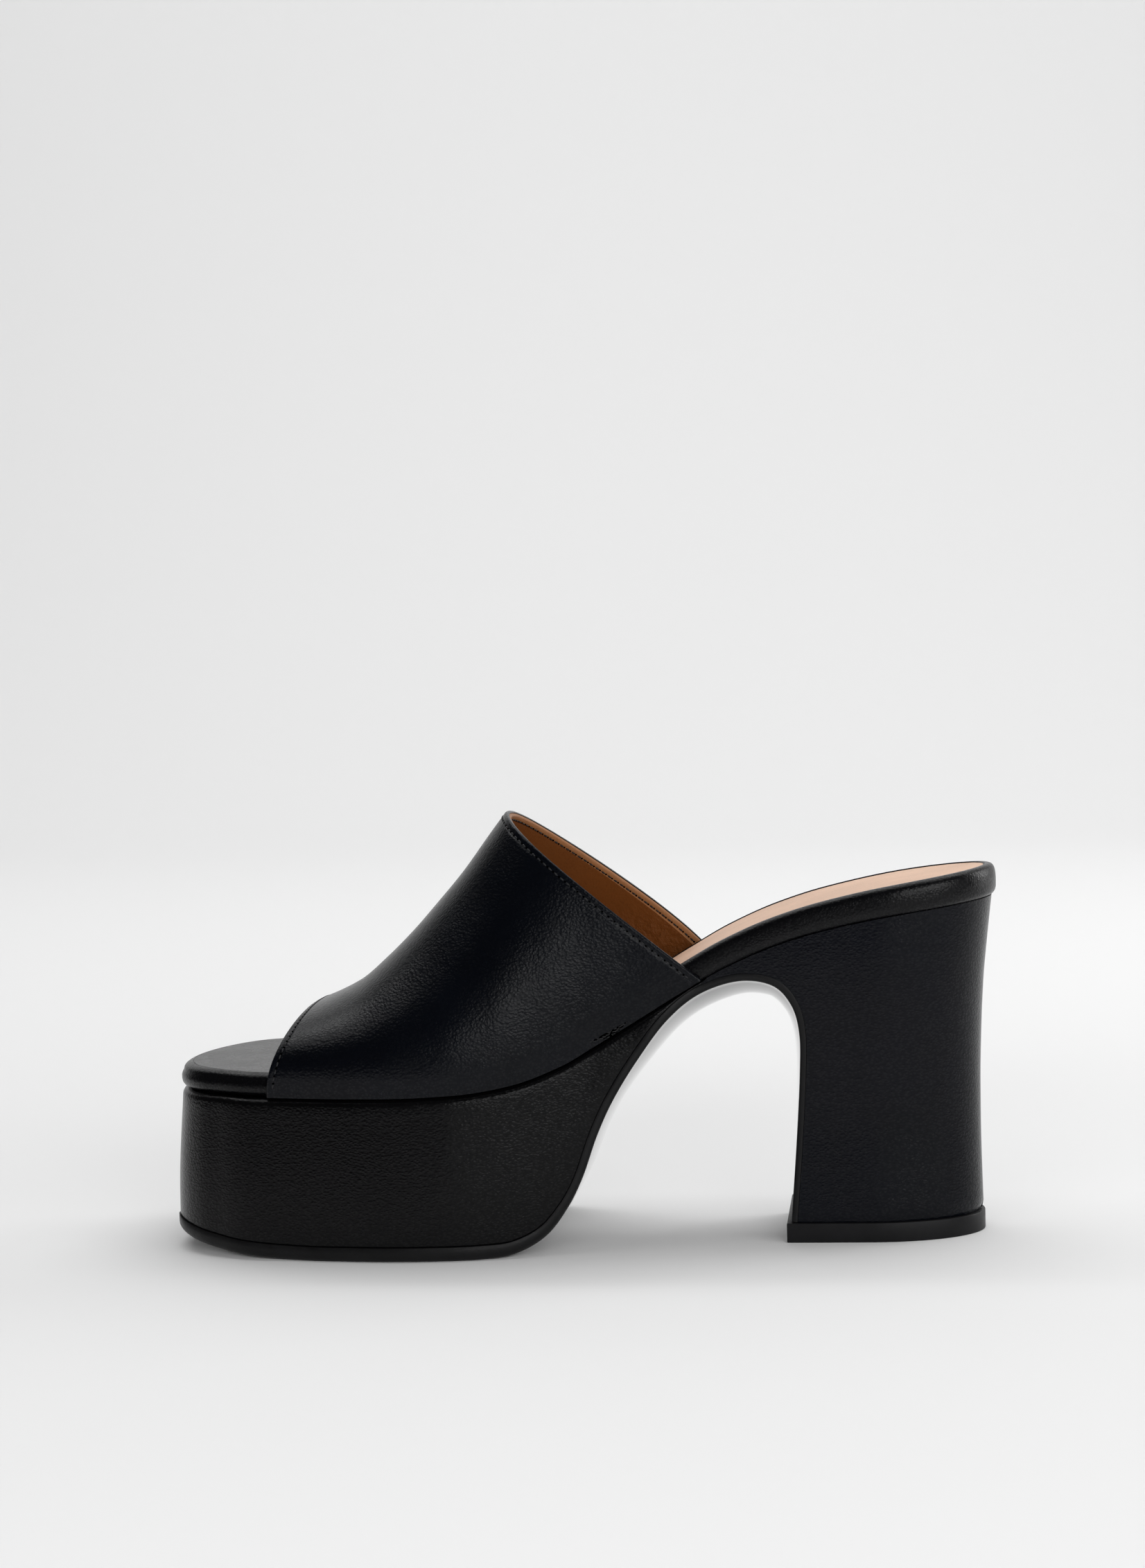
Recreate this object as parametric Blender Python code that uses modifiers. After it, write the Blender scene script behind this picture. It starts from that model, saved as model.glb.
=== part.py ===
"""Heeled platform mule, a right shoe, toe towards -X and heel towards +X, standing on Z = 0.

The medial side is -Y. Every form is worked out from the named sizes below and from short tables,
whose rows are sections of the shoe and whose columns are shares of the named sizes.
"""
import math
from collections import namedtuple

import bmesh
import bpy
from mathutils import Vector

MM = 0.001

# Overall sizes
LENGTH = 241.8 * MM            # footbed, toe tip to the back of the seat
BALL_WIDTH = 86.6 * MM         # footbed across the ball
SEAT_WIDTH = 57.5 * MM         # footbed across the heel seat
PLATFORM_HEIGHT = 46.6 * MM    # floor to the footbed's underside at the ball
SEAT_HEIGHT = 98.8 * MM        # floor to the footbed's underside at the back
INSTEP_HEIGHT = 126.0 * MM     # floor to the top of the collar
ARCH_HEIGHT = 76.6 * MM        # floor to the sole's edge at the top of the arch
TOE_SPRING = 5.0 * MM

# Ends of the plan, as the lengths over which they round off
TOE_REACH = 28.5 * MM
SEAT_REACH = 33.0 * MM

# Footbed and insole cover
FOOTBED_TOE = 7.0 * MM         # thickness of the wrapped board at the toe
FOOTBED_SEAT = 9.3 * MM        # and at the heel seat
RIM_ROUND = 2.6 * MM           # rounding of the rim
SOCK_THICKNESS = 1.0 * MM
SOCK_INSET = 3.4 * MM          # black rim left showing round the insole cover
BED_EDGE = 0.5 * MM            # slope of the bed's edge
SOCK_FRONT = 0.25              # where the insole cover starts, as a share of the length

# Upper
WALL = 2.3 * MM                # leather and lining together
OPENING_HEIGHT = 23.2 * MM     # toe opening, above the platform
SIDE_RISE = 6.0 * MM           # upright part of the wall above the platform
OPENING_FOOT = 0.130           # foot of the toe opening, as a share of the length
OPENING_TOP = 0.161
COLLAR_FOOT = 0.648            # foot of the collar
COLLAR_TOP = 0.407
COLLAR_SKEW = 4.2 * MM         # how much further back the collar lies on the lateral side
SKEW_RISE = 0.6                # below 1 puts the most of it low on the side

# Sole
TREAD = 4.3 * MM               # outsole under the forefoot
WAIST_SOLE = 2.3 * MM          # outsole along the arch
BREAST_SOLE = 1.8 * MM         # outsole down the heel's breast
SOLE_PROUD = 0.4 * MM          # outsole past the platform
TOE_PROUD = 1.6 * MM           # platform past the footbed at the toe tip
TOE_LEAN = 1.2 * MM            # how far the platform's wall leans in at the toe
SIDE_LEAN = 0.8 * MM           # and along its sides
ARCH_CROWN = 6.2 * MM          # how far the waist bulges below its edges
BREAST_SKEW = 3.0 * MM         # how much further forward the platform ends on the lateral side
PLATFORM_ROUND = 1.4 * MM      # rounding of the platform's top edge
EDGE_ROUND = 2.2 * MM          # rounding of the outsole's lower edge
EDGE_SHARE = 0.45              # and the most it takes of the outsole's thickness

# Heel
HEEL_FRONT = 0.660             # where the heel's wedge starts, as a share of the length
HEEL_FOOT_WIDTH = 48.0 * MM
HEEL_SETBACK = 1.1 * MM        # rim past the heel's side and back
HEEL_CURVE = 4.6 * MM          # hollow of the heel's back below the seat
TOPLIFT = 5.7 * MM
TOPLIFT_PROUD = 0.4 * MM
TOPLIFT_NOSE = 1.3 * MM        # toplift in front of the breast

# Clearance between pieces that touch on the real shoe
GAP = 0.3 * MM

# How far the cutters reach past what they cut
BEYOND = 0.2 * SEAT_HEIGHT

# The upper's wall stands on the platform beside the footbed, so the platform is this much wider
LEDGE = WALL + 2 * GAP

# Places in the frame, whose origin is under the middle of the whole shoe
TOE_X = -(LENGTH - SOLE_PROUD - TOE_PROUD) / 2
SEAT_X = TOE_X + LENGTH
HEEL_LINE = 0.028 * BALL_WIDTH


class Table:
    """Rows of named columns; a column is read smoothly at any place along the first one."""

    def __init__(self, columns, rows):
        self.columns = columns.split()
        self.rows = rows

    def at(self, name, place):
        keys = [row[0] for row in self.rows]
        values = [row[self.columns.index(name)] for row in self.rows]
        if place <= keys[0]:
            return values[0]
        if place >= keys[-1]:
            return values[-1]
        slopes = [(values[i + 1] - values[i]) / (keys[i + 1] - keys[i]) for i in range(len(keys) - 1)]
        index = max(i for i in range(len(keys) - 1) if keys[i] <= place)
        width = keys[index + 1] - keys[index]
        share = (place - keys[index]) / width
        start = self.tangent(slopes, index)
        end = self.tangent(slopes, index + 1)
        return (values[index] * (1 + 2 * share) * (1 - share) ** 2
                + start * width * share * (1 - share) ** 2
                + values[index + 1] * share ** 2 * (3 - 2 * share)
                + end * width * share ** 2 * (share - 1))

    @staticmethod
    def tangent(slopes, index):
        """Slope at a row, flat where the column turns, so that it never overshoots."""
        if index == 0:
            return slopes[0]
        if index == len(slopes):
            return slopes[-1]
        before, after = slopes[index - 1], slopes[index]
        if before * after <= 0:
            return 0.0
        return 2 * before * after / (before + after)


# Plan: along the length from the toe; the middle line's place as a share of the ball width, with
# the medial side negative; and how far the width goes from the seat's to the ball's
PLAN = Table("along middle ball", (
    (0.000, -0.094, 0.690),
    (0.035, -0.049, 0.695),
    (0.070, -0.018, 0.720),
    (0.140, -0.009, 0.870),
    (0.210, -0.023, 0.980),
    (0.280, -0.036, 1.000),
    (0.340, -0.038, 0.940),
    (0.400, -0.031, 0.775),
    (0.460, -0.017, 0.525),
    (0.520, -0.004, 0.280),
    (0.580, 0.000, 0.090),
    (0.640, 0.000, 0.000),
    (0.710, 0.000, -0.015),
    (0.790, 0.000, 0.000),
    (1.000, 0.000, 0.000),
))

# Footbed from the side: how far its underside has climbed from the platform to the seat, and
# how far its thickness has gone from the toe's to the seat's
SIDE = Table("along rise thick", (
    (0.000, 0.011, 0.00),
    (0.060, 0.009, 0.00),
    (0.140, 0.001, 0.00),
    (0.220, 0.000, 0.00),
    (0.280, 0.001, 0.05),
    (0.360, 0.013, 0.13),
    (0.420, 0.049, 0.22),
    (0.480, 0.140, 0.33),
    (0.520, 0.241, 0.41),
    (0.570, 0.375, 0.50),
    (0.620, 0.513, 0.56),
    (0.670, 0.643, 0.58),
    (0.730, 0.763, 0.59),
    (0.790, 0.847, 0.62),
    (0.870, 0.921, 0.74),
    (1.000, 1.000, 1.00),
))

# Lower edge of the sole from the tread's end, over the arch and down the breast to the toplift:
# along the length, share of the arch's height, share of the crown, share of the breast's skew
ARCH = (
    (0.376, 0.000, 0.00, 0.0),
    (0.421, 0.013, 0.00, 0.4),
    (0.458, 0.072, 0.10, 0.8),
    (0.4835, 0.170, 0.20, 1.0),
    (0.5025, 0.285, 0.30, 1.0),
    (0.5205, 0.440, 0.40, 1.0),
    (0.540, 0.570, 0.52, 0.9),
    (0.568, 0.710, 0.68, 0.7),
    (0.604, 0.858, 0.86, 0.4),
    (0.6425, 0.952, 1.00, 0.1),
    (0.690, 1.000, 1.00, 0.0),
    (0.730, 0.982, 0.92, 0.0),
    (0.752, 0.908, 0.70, 0.0),
    (0.761, 0.800, 0.42, 0.0),
    (0.7605, 0.640, 0.22, 0.0),
    (0.7545, 0.370, 0.08, 0.0),
    (0.7465, 0.080, 0.00, 0.0),
)

# Heel at heights from the floor to the seat: how far its width has gone from the seat's to the
# foot's, and how much of the back's hollow it has
HEEL = Table("up narrow hollow", (
    (0.00, 0.94, 0.88),
    (0.12, 1.02, 0.95),
    (0.30, 1.04, 1.00),
    (0.45, 0.86, 0.97),
    (0.60, 0.52, 0.86),
    (0.75, 0.18, 0.66),
    (0.87, 0.03, 0.38),
    (1.00, 0.00, 0.04),
))

# Upper, from the toe opening back to the collar: share of the climb of its ridge, side offset of
# the ridge as a share of the ball width, roundness of its section, and the bow of its edge
VAMP = Table("back climb ridge full bow", (
    (0.00, 0.000, -0.060, 2.35, 1.65),
    (0.13, 0.057, -0.060, 2.32, 1.50),
    (0.26, 0.130, -0.062, 2.28, 1.35),
    (0.39, 0.245, -0.062, 2.22, 1.20),
    (0.52, 0.378, -0.060, 2.16, 1.08),
    (0.65, 0.530, -0.056, 2.12, 1.03),
    (0.78, 0.690, -0.050, 2.10, 1.00),
    (0.91, 0.875, -0.045, 2.12, 0.99),
    (1.00, 1.000, -0.042, 2.15, 0.99),
))


def share_along(x):
    return (x - TOE_X) / LENGTH


def place_along(share):
    return TOE_X + share * LENGTH


def smooth(share):
    """0 to 1 with level ends."""
    share = min(max(share, 0.0), 1.0)
    return share * share * (3 - 2 * share)


def round_end(distance, reach):
    """Quarter of an ellipse: 0 at the very end, 1 from the reach on."""
    share = min(max(distance / reach, 0.0), 1.0)
    return math.sqrt(1 - (1 - share) ** 2)


def plan(x, grow=0.0, ends=None):
    """Medial and lateral edge of the footbed at x, grown by grow at the sides and by ends at
    the toe and seat."""
    ends = grow if ends is None else ends
    along = share_along(x)
    middle = HEEL_LINE + PLAN.at("middle", along) * BALL_WIDTH
    half = (SEAT_WIDTH + (BALL_WIDTH - SEAT_WIDTH) * PLAN.at("ball", along)) / 2 + grow
    half *= round_end(x - (TOE_X - ends), TOE_REACH + ends)
    half *= round_end(SEAT_X + ends - x, SEAT_REACH + ends)
    return middle - half, middle + half


def platform_sides(x, grow=0.0):
    """Edges of the platform: the footbed's and the upper's wall beside it, drawn in to the heel."""
    along = share_along(x)
    ledge = TOE_PROUD + (LEDGE - TOE_PROUD) * smooth(along / 0.10)
    ledge -= (LEDGE + HEEL_SETBACK) * smooth((along - HEEL_FRONT + 0.08) / 0.08)
    return plan(x, ledge + grow, TOE_PROUD + grow)


def underside(x):
    """Height of the footbed's underside."""
    return PLATFORM_HEIGHT + (SEAT_HEIGHT - PLATFORM_HEIGHT) * SIDE.at("rise", share_along(x))


def topside(x):
    """Height of the footbed's top."""
    thick = SIDE.at("thick", share_along(x))
    return underside(x) + FOOTBED_TOE + (FOOTBED_SEAT - FOOTBED_TOE) * thick


def end_places(tip, reach, count):
    """Places from a rounded tip inwards, closer together at the tip; reach is negative at the seat."""
    first = math.radians(9)
    angles = [first + (math.pi / 2 - first) * i / count for i in range(count)]
    return [tip + reach * (1 - math.cos(angle)) for angle in angles]


def even_places(start, end, count):
    return [start + (end - start) * i / count for i in range(count + 1)]


def heel_sides(x, z, grow=0.0):
    """Medial and lateral edge of the heel at x on the level z."""
    up = z / SEAT_HEIGHT
    back = SEAT_X - HEEL_SETBACK - HEEL_CURVE * HEEL.at("hollow", up) + grow
    narrow = (SEAT_WIDTH - HEEL_FOOT_WIDTH) * HEEL.at("narrow", up)
    seat_width = SEAT_WIDTH + (BALL_WIDTH - SEAT_WIDTH) * PLAN.at("ball", share_along(x))
    half = (seat_width - narrow) / 2 - HEEL_SETBACK + grow
    half *= round_end(back - x, SEAT_REACH + grow)
    return HEEL_LINE - half, HEEL_LINE + half


def heel_back(z):
    return SEAT_X - HEEL_SETBACK - HEEL_CURVE * HEEL.at("hollow", z / SEAT_HEIGHT)


def sole_sides(x, z, grow=0.0):
    """Medial and lateral edge of what stands on the sole: platform in front, heel behind."""
    behind = smooth((share_along(x) - HEEL_FRONT + 0.05) / 0.05)
    front = platform_sides(x, grow)
    rear = heel_sides(x, z, grow)
    return tuple(a + (b - a) * behind for a, b in zip(front, rear))


Station = namedtuple("Station", "x z nx nz thick crown skew grow")


def tread_height(x):
    """Toe spring: the tread lifts off the floor towards the toe."""
    flat = place_along(0.19)
    lift = max(flat - x, 0.0) / (flat - TOE_X)
    return TOE_SPRING * lift ** 2


def spline(rows, place):
    """Smooth curve through the rows, read at a row number and parts of one."""
    index = min(int(place), len(rows) - 2)
    t = place - index
    a = rows[max(index - 1, 0)]
    b = rows[index]
    c = rows[index + 1]
    d = rows[min(index + 2, len(rows) - 1)]
    return tuple(0.5 * (2 * q + (r - p) * t + (2 * p - 5 * q + 4 * r - s) * t ** 2
                        + (3 * q - p - 3 * r + s) * t ** 3)
                 for p, q, r, s in zip(a, b, c, d))


def arch_place(place):
    """Lower edge of the sole with its crown and skew, at a place of the arch's rows."""
    along, height, crown, skew = spline(ARCH, place)
    height, crown, skew = max(height, 0.0), max(crown, 0.0), max(skew, 0.0)
    return place_along(along), height * ARCH_HEIGHT, crown * ARCH_CROWN, skew * BREAST_SKEW


def sole_stations(per_row=2, toe_count=9, tread_count=7):
    """Stations along the sole's lower edge, from the toe to the toplift."""
    stations = []
    tip = TOE_X - TOE_PROUD - SOLE_PROUD
    reach = TOE_REACH + TOE_PROUD + SOLE_PROUD
    tread_end = place_along(ARCH[0][0])
    places = end_places(tip, reach, toe_count) + even_places(tip + reach, tread_end, tread_count)[:-1]
    step = 0.1 * MM
    for x in places:
        slope = (tread_height(x + step) - tread_height(x - step)) / (2 * step)
        size = math.hypot(1.0, slope)
        stations.append(Station(x, tread_height(x), -slope / size, 1 / size, TREAD, 0.0, 0.0, SOLE_PROUD))
    count = (len(ARCH) - 1) * per_row
    small = 0.01
    for i in range(count + 1):
        place = i / per_row
        x, z, crown, skew = arch_place(place)
        if i == 0:
            x, z = tread_end, 0.0
        ahead = arch_place(min(place + small, len(ARCH) - 1))
        behind = arch_place(max(place - small, 0.0))
        run, rise = ahead[0] - behind[0], ahead[1] - behind[1]
        size = math.hypot(run, rise)
        thinned = smooth(place / 4)
        thick = TREAD + (WAIST_SOLE - TREAD) * thinned
        thick += (BREAST_SOLE - WAIST_SOLE) * smooth((place - count / per_row + 5) / 3)
        grow = SOLE_PROUD * (1 - thinned)
        stations.append(Station(x, z, -rise / size, run / size, thick, crown, skew, grow))
    return stations


def sole_point(station, across, lift, inset=0.0):
    """Point on the sole at a station: across from -1 to 1, lift above its lower face."""
    off = lift - station.crown * (1 - across * across)
    x = station.x + station.nx * off - station.skew * (1 + across) / 2
    z = station.z + station.nz * off
    medial, lateral = sole_sides(x, z, station.grow - inset)
    y = (medial + lateral) / 2 + across * (lateral - medial) / 2
    return Vector((x, y, z))


def material(name, colour, roughness, metallic=0.0):
    made = bpy.data.materials.new(name)
    made.use_nodes = True
    shader = made.node_tree.nodes["Principled BSDF"]
    shader.inputs["Base Color"].default_value = (*colour, 1.0)
    shader.inputs["Roughness"].default_value = roughness
    shader.inputs["Metallic"].default_value = metallic
    return made


def add_object(name, mesh, collection):
    made = bpy.data.objects.new(name, mesh)
    collection.objects.link(made)
    return made


def loft(name, rings):
    """Closed solid through rings of equally many points, capped at both ends."""
    mesh = bpy.data.meshes.new(name)
    solid = bmesh.new()
    rows = [[solid.verts.new(point) for point in ring] for ring in rings]
    count = len(rows[0])
    for one, other in zip(rows, rows[1:]):
        for i in range(count):
            j = (i + 1) % count
            solid.faces.new((one[i], one[j], other[j], other[i]))
    solid.faces.new(rows[0])
    solid.faces.new(rows[-1])
    bmesh.ops.recalc_face_normals(solid, faces=solid.faces)
    solid.to_mesh(mesh)
    solid.free()
    return mesh


def finish(made, colour_material, sharp=35):
    made.data.materials.append(colour_material)
    made.data.shade_smooth()
    made.data.set_sharp_from_angle(angle=math.radians(sharp))
    return made


ACROSS = (-1.0, -0.72, -0.36, 0.0, 0.36, 0.72, 1.0)


def outsole_mesh():
    """Outsole: one sheet from the toe, up the platform's breast, over the arch, to the toplift."""
    rings = []
    for station in sole_stations():
        edge = min(EDGE_SHARE * station.thick, EDGE_ROUND)
        under = [sole_point(station, u, 0.0, edge) for u in ACROSS]
        over = [sole_point(station, u, station.thick) for u in reversed(ACROSS)]
        corner_lateral = sole_point(station, 1.0, edge)
        corner_medial = sole_point(station, -1.0, edge)
        rings.append(under + [corner_lateral] + over + [corner_medial])
    return loft("outsole", rings)


def platform_mesh():
    """Platform: between the outsole and the footbed, running out to a thin waist."""
    rings = []
    for station in sole_stations():
        lift = station.thick + GAP
        inset = station.grow
        base = [sole_point(station, u, lift, inset) for u in ACROSS]
        middle = base[len(base) // 2]
        if middle.x > place_along(HEEL_FRONT) - GAP or station.x < TOE_X - TOE_PROUD + GAP:
            continue
        lean = TOE_LEAN * (1 - smooth((middle.x - TOE_X + TOE_PROUD) / TOE_REACH))
        lid = []
        for point, u in zip(base, ACROSS):
            medial, lateral = platform_sides(point.x, -PLATFORM_ROUND - SIDE_LEAN)
            y = (medial + lateral) / 2 + u * (lateral - medial) / 2
            lid.append(Vector((point.x + lean, y, underside(point.x) - GAP)))
        shoulders = []
        for point, y in zip((base[-1], base[0]), reversed(platform_sides(base[0].x, -SIDE_LEAN))):
            shoulders.append(Vector((point.x + lean, y, underside(point.x) - GAP - PLATFORM_ROUND)))
        rings.append(base + [shoulders[0]] + lid[::-1] + [shoulders[1]])
    return loft("platform", rings)


def lid_cutter_mesh(front):
    """Everything above the footbed's underside, over the heel."""
    top = SEAT_HEIGHT + BEYOND
    outline = [(x, underside(x) - GAP) for x in even_places(front - BEYOND, SEAT_X + BEYOND, 30)]
    outline += [(SEAT_X + BEYOND, top), (front - BEYOND, top)]
    return loft("heel_lid_cutter", [[Vector((x, HEEL_LINE + side, z)) for x, z in outline]
                                    for side in (-SEAT_WIDTH, SEAT_WIDTH)])


def breast_cutter_mesh():
    """Everything in front of and below the outsole's upper face, under the arch."""
    stations = [s for s in sole_stations() if s.x > place_along(0.55)]
    slices = []
    for u in (-1.0,) + ACROSS + (1.0,):
        line = [sole_point(s, u, s.thick + GAP) for s in stations]
        line += [Vector((line[-1].x, line[-1].y, -BEYOND)), Vector((line[0].x, line[0].y, -BEYOND))]
        slices.append(line)
    for outer, side in ((slices[0], -SEAT_WIDTH), (slices[-1], SEAT_WIDTH)):
        for point in outer:
            point.y = HEEL_LINE + side
    return loft("heel_breast_cutter", slices)


def heel_object(collection, cutters):
    """Heel: a D-shaped block and the wedge in front of it, cut by the footbed and the sole."""
    front = place_along(HEEL_FRONT)
    foot = TOPLIFT + GAP
    rings = []
    for z in even_places(foot, SEAT_HEIGHT, 9):
        back = heel_back(z)
        places = even_places(front, back - SEAT_REACH, 8) + end_places(back, -SEAT_REACH, 9)[::-1]
        sides = [heel_sides(x, z) for x in places]
        ring = [Vector((x, side[0], z)) for x, side in zip(places, sides)]
        ring += [Vector((x, side[1], z)) for x, side in reversed(list(zip(places, sides)))]
        rings.append(ring)
    made = add_object("heel", loft("heel", rings), collection)
    for name, mesh in (("heel_lid_cutter", lid_cutter_mesh(front)), ("heel_breast_cutter", breast_cutter_mesh())):
        cutter = add_object(name, mesh, cutters)
        cutter.hide_render = True
        cutter.display_type = "WIRE"
        cut = made.modifiers.new(name, "BOOLEAN")
        cut.object = cutter
        cut.operation = "DIFFERENCE"
        cut.solver = "EXACT"
    return made


def toplift_mesh():
    """Toplift: the D-shaped rubber plate under the heel."""
    z = TOPLIFT
    breast_x = arch_place(len(ARCH) - 1)[0]
    front = breast_x - TOPLIFT_NOSE
    back = heel_back(z) + TOPLIFT_PROUD
    places = even_places(front, back - SEAT_REACH, 4) + end_places(back, -SEAT_REACH, 11)[::-1]
    sides = [heel_sides(x, z, TOPLIFT_PROUD) for x in places]
    rings = []
    for height in (0.0, TOPLIFT):
        ring = [Vector((x, side[0], height)) for x, side in zip(places, sides)]
        ring += [Vector((x, side[1], height)) for x, side in reversed(list(zip(places, sides)))]
        rings.append(ring)
    return loft("toplift", rings)


def end_drop(x, depth):
    """How far an edge that is rounded by depth has dropped near the toe and seat ends."""
    return depth * (1 - min(round_end(x - TOE_X, depth), round_end(SEAT_X - x, depth)))


def bed_places():
    """Places along the footbed, shared by the footbed and the insole cover."""
    start, end = place_along(SOCK_FRONT), SEAT_X - SOCK_INSET - BED_EDGE
    places = end_places(TOE_X, TOE_REACH, 9) + end_places(SEAT_X, -SEAT_REACH, 9)
    places += even_places(TOE_X + TOE_REACH, SEAT_X - SEAT_REACH, 26)
    places += end_places(end - GAP - BED_EDGE, SOCK_INSET - SEAT_REACH, 7)
    fixed = [start - BED_EDGE, start, start + GAP, end - GAP - BED_EDGE, end, end + BED_EDGE]
    kept = [x for x in places if min(abs(x - y) for y in fixed) > 0.8 * BED_EDGE]
    kept = sorted(kept + fixed)
    return [x for i, x in enumerate(kept) if i == 0 or x in fixed or x - kept[i - 1] > BED_EDGE]


def across_section(x, grow, least=0.06):
    """Both edges at x, grown, and never closer together than a small share of the full width."""
    medial, lateral = plan(x, grow)
    full = plan(x)
    middle, half = (full[0] + full[1]) / 2, max((lateral - medial) / 2, least * (full[1] - full[0]))
    return middle - half, middle + half


def footbed_mesh():
    """Footbed: a wrapped board with a rounded rim and a shallow bed for the insole cover."""
    start, end = place_along(SOCK_FRONT), SEAT_X - SOCK_INSET - BED_EDGE
    rings = []
    for x in bed_places():
        low = underside(x) + end_drop(x, 0.5 * RIM_ROUND)
        high = topside(x) - end_drop(x, RIM_ROUND)
        tuck = across_section(x, -0.5 * RIM_ROUND, 0.12)
        edge = plan(x)
        lip = across_section(x, -RIM_ROUND, 0.10)
        cover = across_section(x, -SOCK_INSET, 0.07)
        inner = across_section(x, -SOCK_INSET - BED_EDGE, 0.04)
        bed = SOCK_THICKNESS + GAP if start <= x <= end else 0.0
        side_low, side_high = low + 0.28 * (high - low), high - 0.62 * RIM_ROUND
        ring = [(tuck[0], low), (tuck[1], low), (edge[1], side_low), (edge[1], side_high), (lip[1], high)]
        ring += [(cover[1], high), (inner[1], high - bed), (inner[0], high - bed), (cover[0], high)]
        ring += [(lip[0], high), (edge[0], side_high), (edge[0], side_low)]
        rings.append([Vector((x, y, z)) for y, z in ring])
    return loft("footbed", rings)


def sock_mesh():
    """Insole cover: a thin sheet that lies in the footbed's bed."""
    start, end = place_along(SOCK_FRONT) + GAP, SEAT_X - SOCK_INSET - GAP - 2 * BED_EDGE
    rings = []
    for x in bed_places():
        if not start - 0.1 * GAP <= x <= end + 0.1 * GAP:
            continue
        medial, lateral = plan(x, -SOCK_INSET - BED_EDGE - GAP)
        high = topside(x)
        low = high - SOCK_THICKNESS
        rings.append([Vector((x, y, z)) for y, z in
                      ((medial, low), (lateral, low), (lateral, high), (medial, high))])
    return loft("sock", rings)


def vamp_point(back, turn):
    """Point of the upper's outer face: back from toe opening to collar, turn from the medial
    foot over the ridge to the lateral foot."""
    foot_x = place_along(OPENING_FOOT + (COLLAR_FOOT - OPENING_FOOT) * back)
    top_x = place_along(OPENING_TOP + (COLLAR_TOP - OPENING_TOP) * back)
    foot_z = underside(foot_x) + GAP
    low_top = underside(place_along(OPENING_TOP)) + OPENING_HEIGHT
    top_z = low_top + (INSTEP_HEIGHT - low_top) * VAMP.at("climb", back)
    full = VAMP.at("full", back)
    angle = math.pi * min(max(turn, 0.0), 1.0)
    out = -math.copysign(abs(math.cos(angle)) ** (2 / full), math.cos(angle))
    up = max(math.sin(angle), 0.0) ** (2 / full)
    rise = SIDE_RISE * (1 - min(max(-turn, turn - 1, 0.0), 1.0))
    z = foot_z + rise + (top_z - foot_z - rise) * up
    height = (z - foot_z) / (top_z - foot_z)
    x = foot_x + (top_x - foot_x) * height ** VAMP.at("bow", back)
    x += COLLAR_SKEW * back * math.sin(math.pi * height ** SKEW_RISE) * max(out, 0.0)
    medial, lateral = plan(x, LEDGE, TOE_PROUD)
    ridge = HEEL_LINE + VAMP.at("ridge", back) * BALL_WIDTH
    edge = lateral if out > 0 else medial
    y = ridge + (edge - ridge) * abs(out)
    return Vector((x, y, z))


def upper_mesh(rows=22, turns=26):
    """Outer face of the upper, an open sheet."""
    mesh = bpy.data.meshes.new("upper")
    sheet = bmesh.new()
    turn_places = [-1.0] + [i / turns for i in range(turns + 1)] + [2.0]
    grid = []
    for i in range(rows + 1):
        grid.append([sheet.verts.new(vamp_point(i / rows, turn)) for turn in turn_places])
    for one, other in zip(grid, grid[1:]):
        for i in range(len(one) - 1):
            sheet.faces.new((one[i], one[i + 1], other[i + 1], other[i]))
    bmesh.ops.recalc_face_normals(sheet, faces=sheet.faces)
    middle = grid[rows // 2][len(turn_places) // 2]
    if middle.normal.z < 0:
        bmesh.ops.reverse_faces(sheet, faces=sheet.faces)
    sheet.to_mesh(mesh)
    sheet.free()
    return mesh


def build():
    for old in list(bpy.data.objects):
        bpy.data.objects.remove(old, do_unlink=True)
    shoe = bpy.data.collections.new("heeled_platform_mule")
    cutters = bpy.data.collections.new("cutters")
    bpy.context.scene.collection.children.link(shoe)
    bpy.context.scene.collection.children.link(cutters)

    finish(add_object("outsole", outsole_mesh(), shoe), material("sole_gloss", (0.012, 0.012, 0.013), 0.22))
    finish(add_object("platform", platform_mesh(), shoe), material("platform_leather", (0.014, 0.014, 0.016), 0.42))
    finish(heel_object(shoe, cutters), material("heel_leather", (0.014, 0.014, 0.016), 0.42))
    finish(add_object("toplift", toplift_mesh(), shoe), material("toplift_rubber", (0.012, 0.012, 0.012), 0.55))
    finish(add_object("footbed", footbed_mesh(), shoe), material("footbed_leather", (0.016, 0.016, 0.018), 0.40))
    finish(add_object("sock", sock_mesh(), shoe), material("sock_leather", (0.68, 0.44, 0.28), 0.60))

    upper = finish(add_object("upper", upper_mesh(), shoe), material("upper_leather", (0.014, 0.014, 0.016), 0.40))
    wall = upper.modifiers.new("wall", "SOLIDIFY")
    wall.thickness = WALL
    wall.offset = -1.0
    wall.use_even_offset = True


build()
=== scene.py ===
"""Heeled platform mule in its finish: black calf, tan insole, brown lining, rubber sole.

The forms repeat the sizes, tables and functions of the part, worked out more finely.
"""
import bisect
import math
from collections import namedtuple

import bmesh
import bpy
from mathutils import Matrix, Vector


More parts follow.
